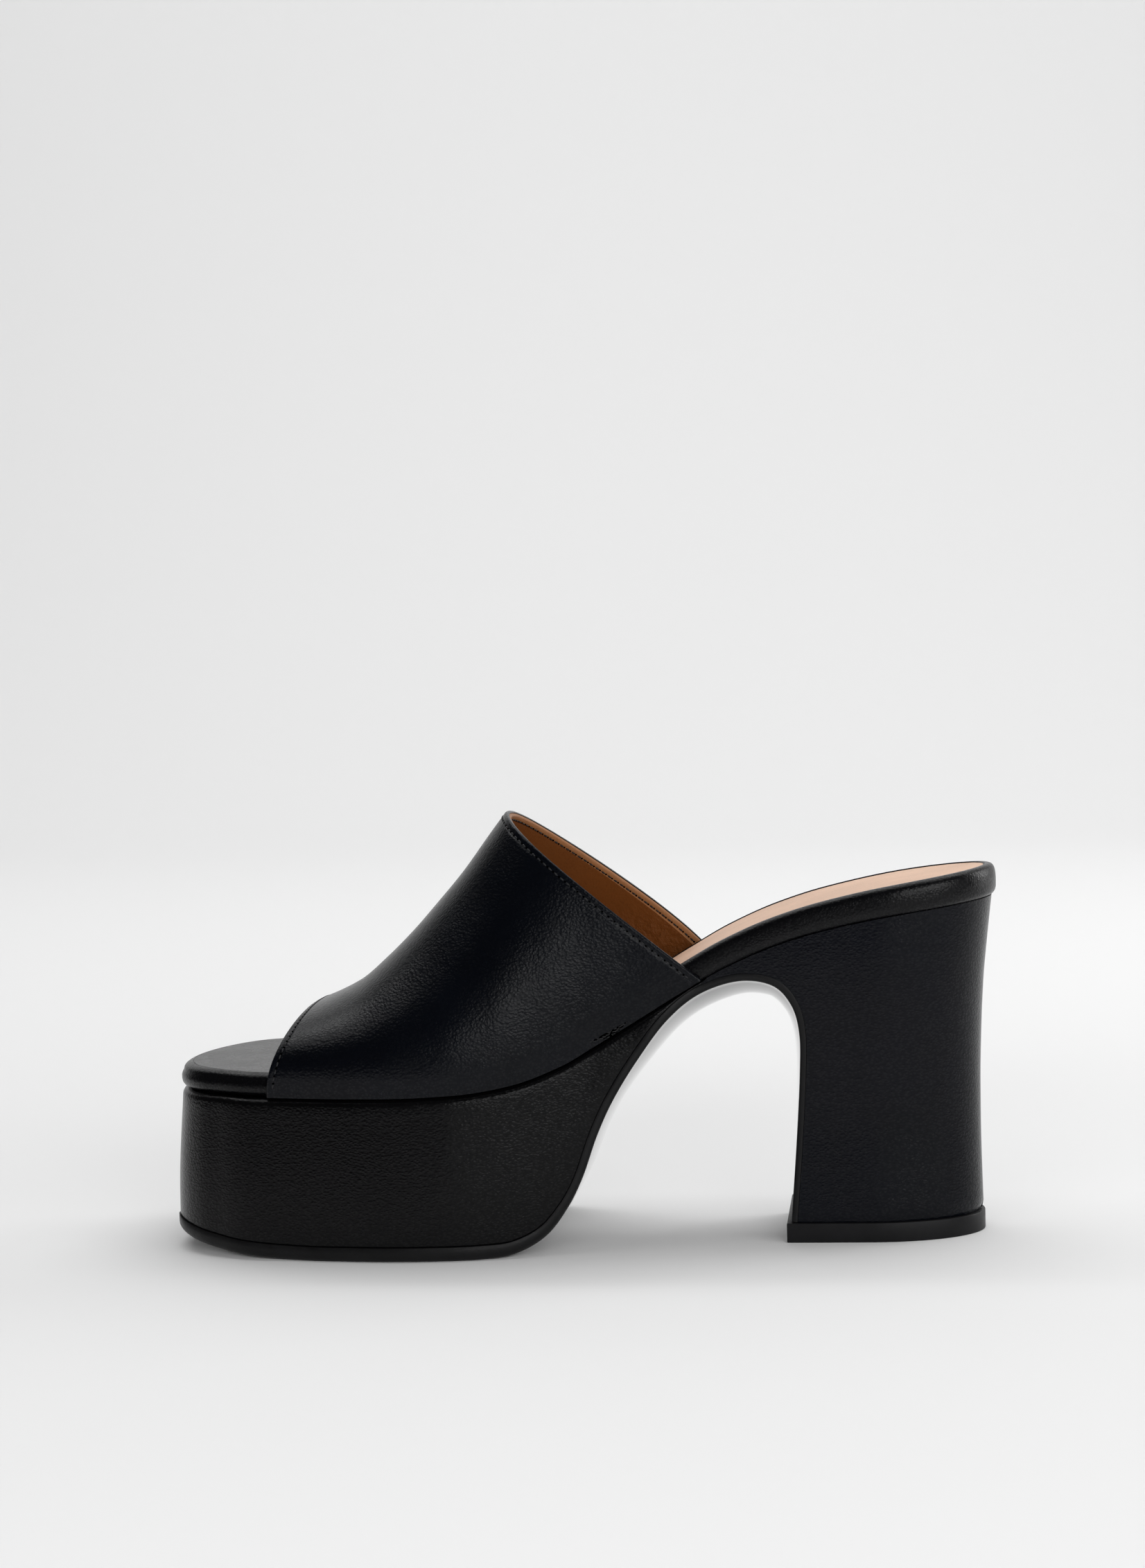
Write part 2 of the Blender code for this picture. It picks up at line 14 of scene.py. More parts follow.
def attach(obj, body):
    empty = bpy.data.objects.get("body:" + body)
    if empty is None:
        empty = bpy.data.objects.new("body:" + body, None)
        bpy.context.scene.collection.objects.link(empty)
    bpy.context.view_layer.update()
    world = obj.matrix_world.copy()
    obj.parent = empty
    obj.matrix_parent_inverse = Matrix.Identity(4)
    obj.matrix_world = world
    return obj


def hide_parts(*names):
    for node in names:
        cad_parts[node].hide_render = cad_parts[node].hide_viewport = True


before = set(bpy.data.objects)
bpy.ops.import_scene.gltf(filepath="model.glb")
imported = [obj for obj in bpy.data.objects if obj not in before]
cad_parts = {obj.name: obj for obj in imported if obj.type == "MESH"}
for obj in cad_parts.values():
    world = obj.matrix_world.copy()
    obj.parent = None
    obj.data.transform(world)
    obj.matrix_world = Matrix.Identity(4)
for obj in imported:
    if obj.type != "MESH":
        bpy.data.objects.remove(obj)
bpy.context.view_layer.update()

MM = 0.001

# Overall sizes
LENGTH = 241.8 * MM            # footbed, toe tip to the back of the seat
BALL_WIDTH = 86.6 * MM         # footbed across the ball
SEAT_WIDTH = 57.5 * MM         # footbed across the heel seat
PLATFORM_HEIGHT = 46.6 * MM    # floor to the footbed's underside at the ball
SEAT_HEIGHT = 98.8 * MM        # floor to the footbed's underside at the back
INSTEP_HEIGHT = 126.0 * MM     # floor to the top of the collar
ARCH_HEIGHT = 76.6 * MM        # floor to the sole's edge at the top of the arch
TOE_SPRING = 5.0 * MM

# Ends of the plan, as the lengths over which they round off
TOE_REACH = 28.5 * MM
SEAT_REACH = 33.0 * MM

# Footbed and insole cover
FOOTBED_TOE = 7.0 * MM         # thickness of the wrapped board at the toe
FOOTBED_SEAT = 9.3 * MM        # and at the heel seat
SOCK_THICKNESS = 1.0 * MM
SOCK_INSET = 3.4 * MM          # black rim left showing round the insole cover
SOCK_FRONT = 0.25              # where the insole cover starts, as a share of the length

# Upper
WALL = 2.3 * MM                # leather and lining together
OPENING_HEIGHT = 23.2 * MM     # toe opening, above the platform
SIDE_RISE = 6.0 * MM           # upright part of the wall above the platform
OPENING_FOOT = 0.130           # foot of the toe opening, as a share of the length
OPENING_TOP = 0.161
COLLAR_FOOT = 0.648            # foot of the collar
COLLAR_TOP = 0.407
COLLAR_SKEW = 4.2 * MM         # how much further back the collar lies on the lateral side
SKEW_RISE = 0.6                # below 1 puts the most of it low on the side

# Sole
TREAD = 4.3 * MM               # outsole under the forefoot
WAIST_SOLE = 2.3 * MM          # outsole along the arch
BREAST_SOLE = 1.8 * MM         # outsole down the heel's breast
SOLE_PROUD = 0.4 * MM          # outsole past the platform
TOE_PROUD = 1.6 * MM           # platform past the footbed at the toe tip
TOE_LEAN = 1.2 * MM            # how far the platform's wall leans in at the toe
SIDE_LEAN = 0.8 * MM           # and along its sides
ARCH_CROWN = 6.2 * MM          # how far the waist bulges below its edges
BREAST_SKEW = 3.0 * MM         # how much further forward the platform ends on the lateral side
PLATFORM_ROUND = 1.4 * MM      # rounding of the platform's top edge
EDGE_ROUND = 2.2 * MM          # rounding of the outsole's lower edge
EDGE_SHARE = 0.55              # and the most it takes of the sole's thickness, 0.45 in the part

# Heel
HEEL_FRONT = 0.660             # where the heel's wedge starts, as a share of the length
HEEL_FOOT_WIDTH = 48.0 * MM
HEEL_SETBACK = 1.1 * MM        # rim past the heel's side and back
HEEL_CURVE = 4.6 * MM          # hollow of the heel's back below the seat
TOPLIFT = 5.7 * MM
TOPLIFT_PROUD = 0.4 * MM
TOPLIFT_NOSE = 1.3 * MM        # toplift in front of the breast

# Clearance between pieces that touch on the real shoe
GAP = 0.3 * MM

# How far the heel's cutters reach past what they cut
BEYOND = 10 * MM

# The upper's wall stands on the platform beside the footbed, so the platform is this much wider
LEDGE = WALL + 2 * GAP

# Places in the frame, whose origin is under the middle of the whole shoe
TOE_X = -(LENGTH - SOLE_PROUD - TOE_PROUD) / 2
SEAT_X = TOE_X + LENGTH
HEEL_LINE = 0.028 * BALL_WIDTH


class Table:
    """Rows of named columns; a column is read smoothly at any place along the first one."""

    def __init__(self, columns, rows):
        self.columns = columns.split()
        self.rows = rows

    def at(self, name, place):
        keys = [row[0] for row in self.rows]
        values = [row[self.columns.index(name)] for row in self.rows]
        if place <= keys[0]:
            return values[0]
        if place >= keys[-1]:
            return values[-1]
        slopes = [(values[i + 1] - values[i]) / (keys[i + 1] - keys[i]) for i in range(len(keys) - 1)]
        index = max(i for i in range(len(keys) - 1) if keys[i] <= place)
        width = keys[index + 1] - keys[index]
        share = (place - keys[index]) / width
        start = self.tangent(slopes, index)
        end = self.tangent(slopes, index + 1)
        return (values[index] * (1 + 2 * share) * (1 - share) ** 2
                + start * width * share * (1 - share) ** 2
                + values[index + 1] * share ** 2 * (3 - 2 * share)
                + end * width * share ** 2 * (share - 1))

    @staticmethod
    def tangent(slopes, index):
        """Slope at a row, flat where the column turns, so that it never overshoots."""
        if index == 0:
            return slopes[0]
        if index == len(slopes):
            return slopes[-1]
        before, after = slopes[index - 1], slopes[index]
        if before * after <= 0:
            return 0.0
        return 2 * before * after / (before + after)


# Plan: along the length from the toe; the middle line's place as a share of the ball width, with
# the medial side negative; and how far the width goes from the seat's to the ball's
PLAN = Table("along middle ball", (
    (0.000, -0.094, 0.690),
    (0.035, -0.049, 0.695),
    (0.070, -0.018, 0.720),
    (0.140, -0.009, 0.870),
    (0.210, -0.023, 0.980),
    (0.280, -0.036, 1.000),
    (0.340, -0.038, 0.940),
    (0.400, -0.031, 0.775),
    (0.460, -0.017, 0.525),
    (0.520, -0.004, 0.280),
    (0.580, 0.000, 0.090),
    (0.640, 0.000, 0.000),
    (0.710, 0.000, -0.015),
    (0.790, 0.000, 0.000),
    (1.000, 0.000, 0.000),
))

# Footbed from the side: how far its underside has climbed from the platform to the seat, and
# how far its thickness has gone from the toe's to the seat's
SIDE = Table("along rise thick", (
    (0.000, 0.011, 0.00),
    (0.060, 0.009, 0.00),
    (0.140, 0.001, 0.00),
    (0.220, 0.000, 0.00),
    (0.280, 0.001, 0.05),
    (0.360, 0.013, 0.13),
    (0.420, 0.049, 0.22),
    (0.480, 0.140, 0.33),
    (0.520, 0.241, 0.41),
    (0.570, 0.375, 0.50),
    (0.620, 0.513, 0.56),
    (0.670, 0.643, 0.58),
    (0.730, 0.763, 0.59),
    (0.790, 0.847, 0.62),
    (0.870, 0.921, 0.74),
    (1.000, 1.000, 1.00),
))

# Lower edge of the sole from the tread's end, over the arch and down the breast to the toplift:
# along the length, share of the arch's height, share of the crown, share of the breast's skew
ARCH = (
    (0.376, 0.000, 0.00, 0.0),
    (0.421, 0.013, 0.00, 0.4),
    (0.458, 0.072, 0.10, 0.8),
    (0.4835, 0.170, 0.20, 1.0),
    (0.5025, 0.285, 0.30, 1.0),
    (0.5205, 0.440, 0.40, 1.0),
    (0.540, 0.570, 0.52, 0.9),
    (0.568, 0.710, 0.68, 0.7),
    (0.604, 0.858, 0.86, 0.4),
    (0.6425, 0.952, 1.00, 0.1),
    (0.690, 1.000, 1.00, 0.0),
    (0.730, 0.982, 0.92, 0.0),
    (0.752, 0.908, 0.70, 0.0),
    (0.761, 0.800, 0.42, 0.0),
    (0.7605, 0.640, 0.22, 0.0),
    (0.7545, 0.370, 0.08, 0.0),
    (0.7465, 0.080, 0.00, 0.0),
)

# Heel at heights from the floor to the seat: how far its width has gone from the seat's to the
# foot's, and how much of the back's hollow it has
HEEL = Table("up narrow hollow", (
    (0.00, 0.94, 0.88),
    (0.12, 1.02, 0.95),
    (0.30, 1.04, 1.00),
    (0.45, 0.86, 0.97),
    (0.60, 0.52, 0.86),
    (0.75, 0.18, 0.66),
    (0.87, 0.03, 0.38),
    (1.00, 0.00, 0.04),
))

# Upper, from the toe opening back to the collar: share of the climb of its ridge, side offset of
# the ridge as a share of the ball width, roundness of its section, and the bow of its edge
VAMP = Table("back climb ridge full bow", (
    (0.00, 0.000, -0.060, 2.35, 1.65),
    (0.13, 0.057, -0.060, 2.32, 1.50),
    (0.26, 0.130, -0.062, 2.28, 1.35),
    (0.39, 0.245, -0.062, 2.22, 1.20),
    (0.52, 0.378, -0.060, 2.16, 1.08),
    (0.65, 0.530, -0.056, 2.12, 1.03),
    (0.78, 0.690, -0.050, 2.10, 1.00),
    (0.91, 0.875, -0.045, 2.12, 0.99),
    (1.00, 1.000, -0.042, 2.15, 0.99),
))


def share_along(x):
    """Share of the length from the toe to x."""
    return (x - TOE_X) / LENGTH


def place_along(share):
    """Place at a share of the length from the toe."""
    return TOE_X + share * LENGTH


def smooth(share):
    """0 to 1 with level ends."""
    share = min(max(share, 0.0), 1.0)
    return share * share * (3 - 2 * share)


def round_end(distance, reach):
    """Quarter of an ellipse: 0 at the very end, 1 from the reach on."""
    share = min(max(distance / reach, 0.0), 1.0)
    return math.sqrt(1 - (1 - share) ** 2)


def plan(x, grow=0.0, ends=None):
    """Medial and lateral edge of the footbed at x, grown by grow at the sides and by ends at
    the toe and seat."""
    ends = grow if ends is None else ends
    along = share_along(x)
    middle = HEEL_LINE + PLAN.at("middle", along) * BALL_WIDTH
    half = (SEAT_WIDTH + (BALL_WIDTH - SEAT_WIDTH) * PLAN.at("ball", along)) / 2 + grow
    half *= round_end(x - (TOE_X - ends), TOE_REACH + ends)
    half *= round_end(SEAT_X + ends - x, SEAT_REACH + ends)
    return middle - half, middle + half


def platform_sides(x, grow=0.0):
    """Edges of the platform: the footbed's and the upper's wall beside it, drawn in to the heel."""
    along = share_along(x)
    ledge = TOE_PROUD + (LEDGE - TOE_PROUD) * smooth(along / 0.10)
    ledge -= (LEDGE + HEEL_SETBACK) * smooth((along - HEEL_FRONT + 0.08) / 0.08)
    return plan(x, ledge + grow, TOE_PROUD + grow)


def underside(x):
    """Height of the footbed's underside."""
    return PLATFORM_HEIGHT + (SEAT_HEIGHT - PLATFORM_HEIGHT) * SIDE.at("rise", share_along(x))


def topside(x):
    """Height of the footbed's top."""
    thick = SIDE.at("thick", share_along(x))
    return underside(x) + FOOTBED_TOE + (FOOTBED_SEAT - FOOTBED_TOE) * thick


def end_places(tip, reach, count, first=1.2):
    """Places from a rounded tip inwards, closer together at the tip; reach is negative at the seat
    and first is the angle of the first place, in degrees."""
    start = math.radians(first)
    angles = [start + (math.pi / 2 - start) * i / count for i in range(count)]
    return [tip + reach * (1 - math.cos(angle)) for angle in angles]


def even_places(start, end, count):
    """Places at even steps, with both ends."""
    return [start + (end - start) * i / count for i in range(count + 1)]


def heel_sides(x, z, grow=0.0):
    """Medial and lateral edge of the heel at x on the level z."""
    back = heel_back(z) + grow
    narrow = (SEAT_WIDTH - HEEL_FOOT_WIDTH) * HEEL.at("narrow", z / SEAT_HEIGHT)
    seat_width = SEAT_WIDTH + (BALL_WIDTH - SEAT_WIDTH) * PLAN.at("ball", share_along(x))
    half = (seat_width - narrow) / 2 - HEEL_SETBACK + grow
    half *= round_end(back - x, SEAT_REACH + grow)
    return HEEL_LINE - half, HEEL_LINE + half


def heel_back(z):
    """Rearmost place of the heel on the level z."""
    return SEAT_X - HEEL_SETBACK - HEEL_CURVE * HEEL.at("hollow", z / SEAT_HEIGHT)


def sole_sides(x, z, grow=0.0):
    """Medial and lateral edge of what stands on the sole: platform in front, heel behind."""
    behind = smooth((share_along(x) - HEEL_FRONT + 0.05) / 0.05)
    front = platform_sides(x, grow)
    rear = heel_sides(x, z, grow)
    return tuple(a + (b - a) * behind for a, b in zip(front, rear))


Station = namedtuple("Station", "x z nx nz thick crown skew grow")


def tread_height(x):
    """Toe spring: the tread lifts off the floor towards the toe."""
    flat = place_along(0.19)
    lift = max(flat - x, 0.0) / (flat - TOE_X)
    return TOE_SPRING * lift ** 2


def spline(rows, place):
    """Smooth curve through the rows, read at a row number and parts of one."""
    index = min(int(place), len(rows) - 2)
    t = place - index
    a = rows[max(index - 1, 0)]
    b = rows[index]
    c = rows[index + 1]
    d = rows[min(index + 2, len(rows) - 1)]
    return tuple(0.5 * (2 * q + (r - p) * t + (2 * p - 5 * q + 4 * r - s) * t ** 2
                        + (3 * q - p - 3 * r + s) * t ** 3)
                 for p, q, r, s in zip(a, b, c, d))


def arch_place(place):
    """Lower edge of the sole with its crown and skew, at a place of the arch's rows."""
    along, height, crown, skew = spline(ARCH, place)
    height, crown, skew = max(height, 0.0), max(crown, 0.0), max(skew, 0.0)
    return place_along(along), height * ARCH_HEIGHT, crown * ARCH_CROWN, skew * BREAST_SKEW


def sole_stations(per_row=8, toe_count=42, tread_count=36):
    """Stations along the sole's lower edge, from the toe to the toplift."""
    stations = []
    tip = TOE_X - TOE_PROUD - SOLE_PROUD
    reach = TOE_REACH + TOE_PROUD + SOLE_PROUD
    tread_end = place_along(ARCH[0][0])
    places = end_places(tip, reach, toe_count, 9) + even_places(tip + reach, tread_end, tread_count)[:-1]
    step = 0.1 * MM
    for x in places:
        slope = (tread_height(x + step) - tread_height(x - step)) / (2 * step)
        size = math.hypot(1.0, slope)
        stations.append(Station(x, tread_height(x), -slope / size, 1 / size, TREAD, 0.0, 0.0, SOLE_PROUD))
    count = (len(ARCH) - 1) * per_row
    small = 0.01
    for i in range(count + 1):
        place = i / per_row
        x, z, crown, skew = arch_place(place)
        if i == 0:
            x, z = tread_end, 0.0
        ahead = arch_place(min(place + small, len(ARCH) - 1))
        behind = arch_place(max(place - small, 0.0))
        run, rise = ahead[0] - behind[0], ahead[1] - behind[1]
        size = math.hypot(run, rise)
        thinned = smooth(place / 4)
        thick = TREAD + (WAIST_SOLE - TREAD) * thinned
        thick += (BREAST_SOLE - WAIST_SOLE) * smooth((place - count / per_row + 5) / 3)
        grow = SOLE_PROUD * (1 - thinned)
        stations.append(Station(x, z, -rise / size, run / size, thick, crown, skew, grow))
    return stations


def sole_point(station, across, lift, inset=0.0):
    """Point on the sole at a station: across from -1 to 1, lift above its lower face."""
    off = lift - station.crown * (1 - across * across)
    x = station.x + station.nx * off - station.skew * (1 + across) / 2
    z = station.z + station.nz * off
    medial, lateral = sole_sides(x, z, station.grow - inset)
    y = (medial + lateral) / 2 + across * (lateral - medial) / 2
    return Vector((x, y, z))


def vamp_point(back, turn):
    """Point of the upper's outer face: back from toe opening to collar, turn from the medial
    foot over the ridge to the lateral foot."""
    foot_x = place_along(OPENING_FOOT + (COLLAR_FOOT - OPENING_FOOT) * back)
    top_x = place_along(OPENING_TOP + (COLLAR_TOP - OPENING_TOP) * back)
    foot_z = underside(foot_x) + GAP
    low_top = underside(place_along(OPENING_TOP)) + OPENING_HEIGHT
    top_z = low_top + (INSTEP_HEIGHT - low_top) * VAMP.at("climb", back)
    full = VAMP.at("full", back)
    angle = math.pi * min(max(turn, 0.0), 1.0)
    out = -math.copysign(abs(math.cos(angle)) ** (2 / full), math.cos(angle))
    up = max(math.sin(angle), 0.0) ** (2 / full)
    rise = SIDE_RISE * (1 - min(max(-turn, turn - 1, 0.0), 1.0))
    z = foot_z + rise + (top_z - foot_z - rise) * up
    height = (z - foot_z) / (top_z - foot_z)
    x = foot_x + (top_x - foot_x) * height ** VAMP.at("bow", back)
    x += COLLAR_SKEW * back * math.sin(math.pi * height ** SKEW_RISE) * max(out, 0.0)
    medial, lateral = plan(x, LEDGE, TOE_PROUD)
    ridge = HEEL_LINE + VAMP.at("ridge", back) * BALL_WIDTH
    edge = lateral if out > 0 else medial
    y = ridge + (edge - ridge) * abs(out)
    return Vector((x, y, z))


def lerp(a, b, t):
    """Value at the share t of the way from a to b."""
    return a + (b - a) * t


def add_object(name, data):
    """New object in the scene."""
    made = bpy.data.objects.new(name, data)
    bpy.context.scene.collection.objects.link(made)
    return made


def grid_object(name, rows, closed=False, caps=False, second=None, sharp=40):
    """Mesh through rows of equally many points; closed joins each row's end to its start. Each cap is
    one face, or "rungs" across a loop that isn't flat. second says of a row and column whether
    that face takes the second material; caps take the first."""
    count = len(rows[0])
    points = [tuple(p) for row in rows for p in row]
    faces = []
    slots = []
    for i in range(len(rows) - 1):
        for j in range(count if closed else count - 1):
            k = (j + 1) % count
            a, b = i * count, (i + 1) * count
            faces.append((a + j, a + k, b + k, b + j))
            slots.append(1 if second and second(i, j) else 0)
    for first in (0, (len(rows) - 1) * count):
        if caps == "rungs":
            half = count // 2
            faces.append((first, first + 1, first + count - 1))
            for i in range(1, half - 1):
                faces.append((first + i, first + i + 1, first + count - i - 1, first + count - i))
            faces.append((first + half - 1, first + half, first + half + 1))
        elif caps:
            faces.append(tuple(range(first, first + count)))
    mesh = bpy.data.meshes.new(name)
    mesh.from_pydata(points, [], faces)
    if second:
        slots += [0] * (len(faces) - len(slots))
        mesh.polygons.foreach_set("material_index", slots)
    work = bmesh.new()
    work.from_mesh(mesh)
    bmesh.ops.remove_doubles(work, verts=work.verts, dist=0.00001)
    bmesh.ops.dissolve_degenerate(work, dist=0.000005, edges=work.edges)
    bmesh.ops.recalc_face_normals(work, faces=work.faces)
    work.to_mesh(mesh)
    work.free()
    mesh.shade_smooth()
    mesh.set_sharp_from_angle(angle=math.radians(sharp))
    return add_object(name, mesh)


def dress(made, node, slot, *surfaces):
    """One finished piece: its materials, the node that it replaces, and its body; slot is not used."""
    for surface in surfaces:
        made.data.materials.append(surface)
    if node:
        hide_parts(node)
    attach(made, "root")
    return made


# Materials

def node_maker(name):
    """New material with its shader, and functions that add a node and join two sockets."""
    made = bpy.data.materials.new(name)
    made.use_nodes = True
    tree = made.node_tree
    shader = tree.nodes["Principled BSDF"]

    def add(kind, links=(), **values):
        node = tree.nodes.new(kind)
        for key, value in values.items():
            if hasattr(node, key):
                setattr(node, key, value)
            else:
                node.inputs[key.replace("_", " ")].default_value = value
        for socket, source in links:
            tree.links.new(source, node.inputs[socket])
        return node

    def join(source, target):
        tree.links.new(source, target)

    return made, shader, add, join


def ramp(add, source, *stops):
    """Colour ramp from a value, as stops of place and grey or colour."""
    node = add("ShaderNodeValToRGB", (("Fac", source),))
    while len(node.color_ramp.elements) < len(stops):
        node.color_ramp.elements.new(0.5)
    for element, (place, colour) in zip(node.color_ramp.elements, stops):
        element.position = place
        element.color = (*colour, 1.0) if isinstance(colour, tuple) else (colour, colour, colour, 1.0)
    return node


def tinted(base, share):
    """Colour made darker or lighter by a share."""
    return tuple(share * c for c in base)


def noise(add, where, scale, detail, roughness=0.5):
    """Noise, with its scale in cells a metre."""
    return add("ShaderNodeTexNoise", (("Vector", where),), Scale=scale, Detail=detail, Roughness=roughness)


def bump(add, height, strength, distance, under=None, invert=False):
    """Bump, laid over the one under it."""
    links = [("Height", height)]
    if under:
        links.append(("Normal", under.outputs["Normal"]))
    return add("ShaderNodeBump", links, Strength=strength, Distance=distance, invert=invert)


def spread(add, value, low, high, first, last):
    """Span of a value from low to high, turned into one from first to last."""
    return add("ShaderNodeMapRange", (("Value", value),), From_Min=low, From_Max=high,
               To_Min=first, To_Max=last)


def black_leather(name, base, roughness, pebble=0.85, depth=0.095, shine=0.19, drawn=(1.0, 1.0, 1.0)):
    """Smooth black calf: faint uneven colour, fine pebbled grain, small creases and a soft polish.
    pebble and depth are the grain's width and depth in millimetres, and drawn stretches it."""
    made, shader, add, join = node_maker(name)
    where = add("ShaderNodeTexCoord").outputs["Object"]
    bent = noise(add, where, 160.0, 2.0)
    moved = add("ShaderNodeMix", (("A", where), ("B", bent.outputs["Color"])), data_type="VECTOR",
                Factor=0.0016)
    fitted = add("ShaderNodeMapping", (("Vector", moved.outputs[1]),), Scale=drawn).outputs[0]
    cells = add("ShaderNodeTexVoronoi", (("Vector", fitted),), feature="SMOOTH_F1", Scale=1000.0 / pebble,
                Smoothness=0.35)
    pores = noise(add, fitted, 2400.0, 3.0, 0.6)
    folds = noise(add, fitted, 300.0, 5.0, 0.62)
    clouds = noise(add, where, 38.0, 5.0, 0.6)
    wear = noise(add, where, 120.0, 6.0, 0.65)

    colour = ramp(add, clouds.outputs["Fac"], (0.30, tinted(base, 0.80)), (0.70, tinted(base, 1.25)))
    join(colour.outputs["Color"], shader.inputs["Base Color"])
    gloss = spread(add, wear.outputs["Fac"], 0.30, 0.70, roughness - 0.02, roughness + 0.03)
    join(gloss.outputs["Result"], shader.inputs["Roughness"])

    grain = bump(add, cells.outputs["Distance"], 0.8, depth * MM, invert=True)
    creased = bump(add, folds.outputs["Fac"], 0.6, 0.06 * MM, under=grain)
    porous = bump(add, pores.outputs["Fac"], 0.5, 0.08 * MM, under=creased)
    join(porous.outputs["Normal"], shader.inputs["Normal"])
    polish = spread(add, cells.outputs["Distance"], 0.10, 0.60, 1.16 * shine, 0.74 * shine)
    join(polish.outputs["Result"], shader.inputs["Specular IOR Level"])
    return made


def tan_leather(name, base, roughness=0.55, crease=0.1, shine=0.3, crumpled_below=None):
    """Insole or lining leather: matte and warm, with a fine grain and small creases. Where
    crumpled_below is given, the creases are full below that height and faint 9 mm above it."""
    made, shader, add, join = node_maker(name)
    where = add("ShaderNodeTexCoord").outputs["Object"]
    clouds = noise(add, where, 45.0, 5.0, 0.6)
    grain = noise(add, where, 1500.0, 4.0, 0.6)
    cells = add("ShaderNodeTexVoronoi", (("Vector", where),), Scale=1300.0)
    colour = ramp(add, clouds.outputs["Fac"], (0.30, tinted(base, 0.90)), (0.72, tinted(base, 1.06)))
    specks = ramp(add, grain.outputs["Fac"], (0.34, 0.80), (0.50, 1.0))
    mixed = add("ShaderNodeMix", data_type="RGBA", blend_type="MULTIPLY", Factor=0.6)
    join(colour.outputs["Color"], mixed.inputs["A"])
    join(specks.outputs["Color"], mixed.inputs["B"])
    join(mixed.outputs["Result"], shader.inputs["Base Color"])
    pebbled = bump(add, cells.outputs["Distance"], 0.5, 0.08 * MM)
    creases = noise(add, where, 420.0, 4.0, 0.6)
    crumpled = bump(add, creases.outputs["Fac"], 0.5, crease * MM, under=pebbled)
    if crumpled_below:
        apart = add("ShaderNodeSeparateXYZ", (("Vector", where),))
        low = spread(add, apart.outputs["Z"], crumpled_below, crumpled_below + 9 * MM, 1.0, 0.08)
        join(low.outputs["Result"], crumpled.inputs["Strength"])
    grained = bump(add, grain.outputs["Fac"], 0.4, 0.05 * MM, under=crumpled)
    join(grained.outputs["Normal"], shader.inputs["Normal"])
    shader.inputs["Specular IOR Level"].default_value = shine
    shader.inputs["Roughness"].default_value = roughness
    return made


def rubber(name, base, roughness, fine=900.0, depth=0.05, shine=0.5):
    """Black sole rubber with a faint mould haze; the thread and the painted shade of the needle holes use it
    too.
    """
    made, shader, add, join = node_maker(name)
    where = add("ShaderNodeTexCoord").outputs["Object"]
    haze = noise(add, where, 90.0, 6.0, 0.7)
    grit = noise(add, where, fine, 4.0, 0.65)
    colour = ramp(add, haze.outputs["Fac"], (0.35, tinted(base, 0.8)), (0.70, tinted(base, 1.5)))
    join(colour.outputs["Color"], shader.inputs["Base Color"])
    gloss = spread(add, haze.outputs["Fac"], 0.3, 0.7, 0.8 * roughness, 1.2 * roughness)
    join(gloss.outputs["Result"], shader.inputs["Roughness"])
    gritty = bump(add, grit.outputs["Fac"], 0.5, depth * MM)
    join(gritty.outputs["Normal"], shader.inputs["Normal"])
    shader.inputs["Specular IOR Level"].default_value = shine
    return made


UPPER_LEATHER = black_leather("upper_leather", (0.0010, 0.0014, 0.0026), 0.26, drawn=(1.0, 1.0, 1.15))
PLATFORM_LEATHER = black_leather("platform_leather", (0.0012, 0.0012, 0.0014), 0.23, drawn=(0.9, 0.9, 1.3))
HEEL_LEATHER = black_leather("heel_leather", (0.0010, 0.0014, 0.0028), 0.24, drawn=(0.9, 0.9, 1.25))
RIM_LEATHER = black_leather("rim_leather", (0.0012, 0.0012, 0.0016), 0.27, pebble=0.7, depth=0.08, shine=0.24)
SOCK_LEATHER = tan_leather("sock_leather", (0.765, 0.512, 0.370))
LINING_LEATHER = tan_leather("lining_leather", (0.120, 0.038, 0.0080), 0.42, crease=1.4, shine=0.12,
                             crumpled_below=86 * MM)
# Lighter tan where the lining is folded over the edges: partly the fold's own tan, partly a painted highlight
# on the raised fold
FOLD_TAN_AND_HIGHLIGHT = tan_leather("fold_tan_and_highlight", (0.28, 0.125, 0.050), 0.5, crease=0.3)
SOLE_GLOSS = rubber("sole_gloss", (0.016, 0.016, 0.0165), 0.09, fine=300.0, depth=0.02, shine=1.0)
for socket, value in (("Coat Weight", 1.0), ("Coat Roughness", 0.06), ("Coat IOR", 1.9)):
    SOLE_GLOSS.node_tree.nodes["Principled BSDF"].inputs[socket].default_value = value
SOLE_EDGE = rubber("sole_edge", (0.0036, 0.0036, 0.0039), 0.42, shine=0.2, depth=0.15)
TOPLIFT_RUBBER = rubber("toplift_rubber", (0.0045, 0.0045, 0.0050), 0.45, shine=0.18)
THREAD = rubber("thread", (0.008, 0.008, 0.009), 0.5, shine=0.4)
# Needle holes: matte black blobs with no shine at each thread's end, painted shade of the holes
NEEDLE_HOLE_SHADE = rubber("needle_hole_shade", (0.0004, 0.0004, 0.0004), 0.9, shine=0.0)


# Sole

SEAM = 0.1 * MM                # from platform to sole and footbed, and from heel to sole
LID_SEAM = 0.12 * MM           # between heel and footbed
TOE_MATTE = 7 * MM             # underside as matte as the edge; the sheet's flat end stays glossy
FOOT_ROUND = 0.2 * MM          # how far the platform's wrap draws in at the sole
HEEL_AHEAD = 6 * MM            # how far the heel block starts in front of HEEL_FRONT
HEEL_SEAM = 0.15 * MM          # between heel and toplift
GROOVE_DEPTH = 0.5 * MM        # how far the heel's wrap draws in at the toplift
GROOVE_HEIGHT = 0.7 * MM


def level_ring(places, sides, z):
    """Loop on one level: along the medial edge and back along the lateral one."""
    ring = [Vector((x, side[0], z)) for x, side in zip(places, sides)]
    return ring + [Vector((x, side[1], z)) for x, side in reversed(list(zip(places, sides)))]


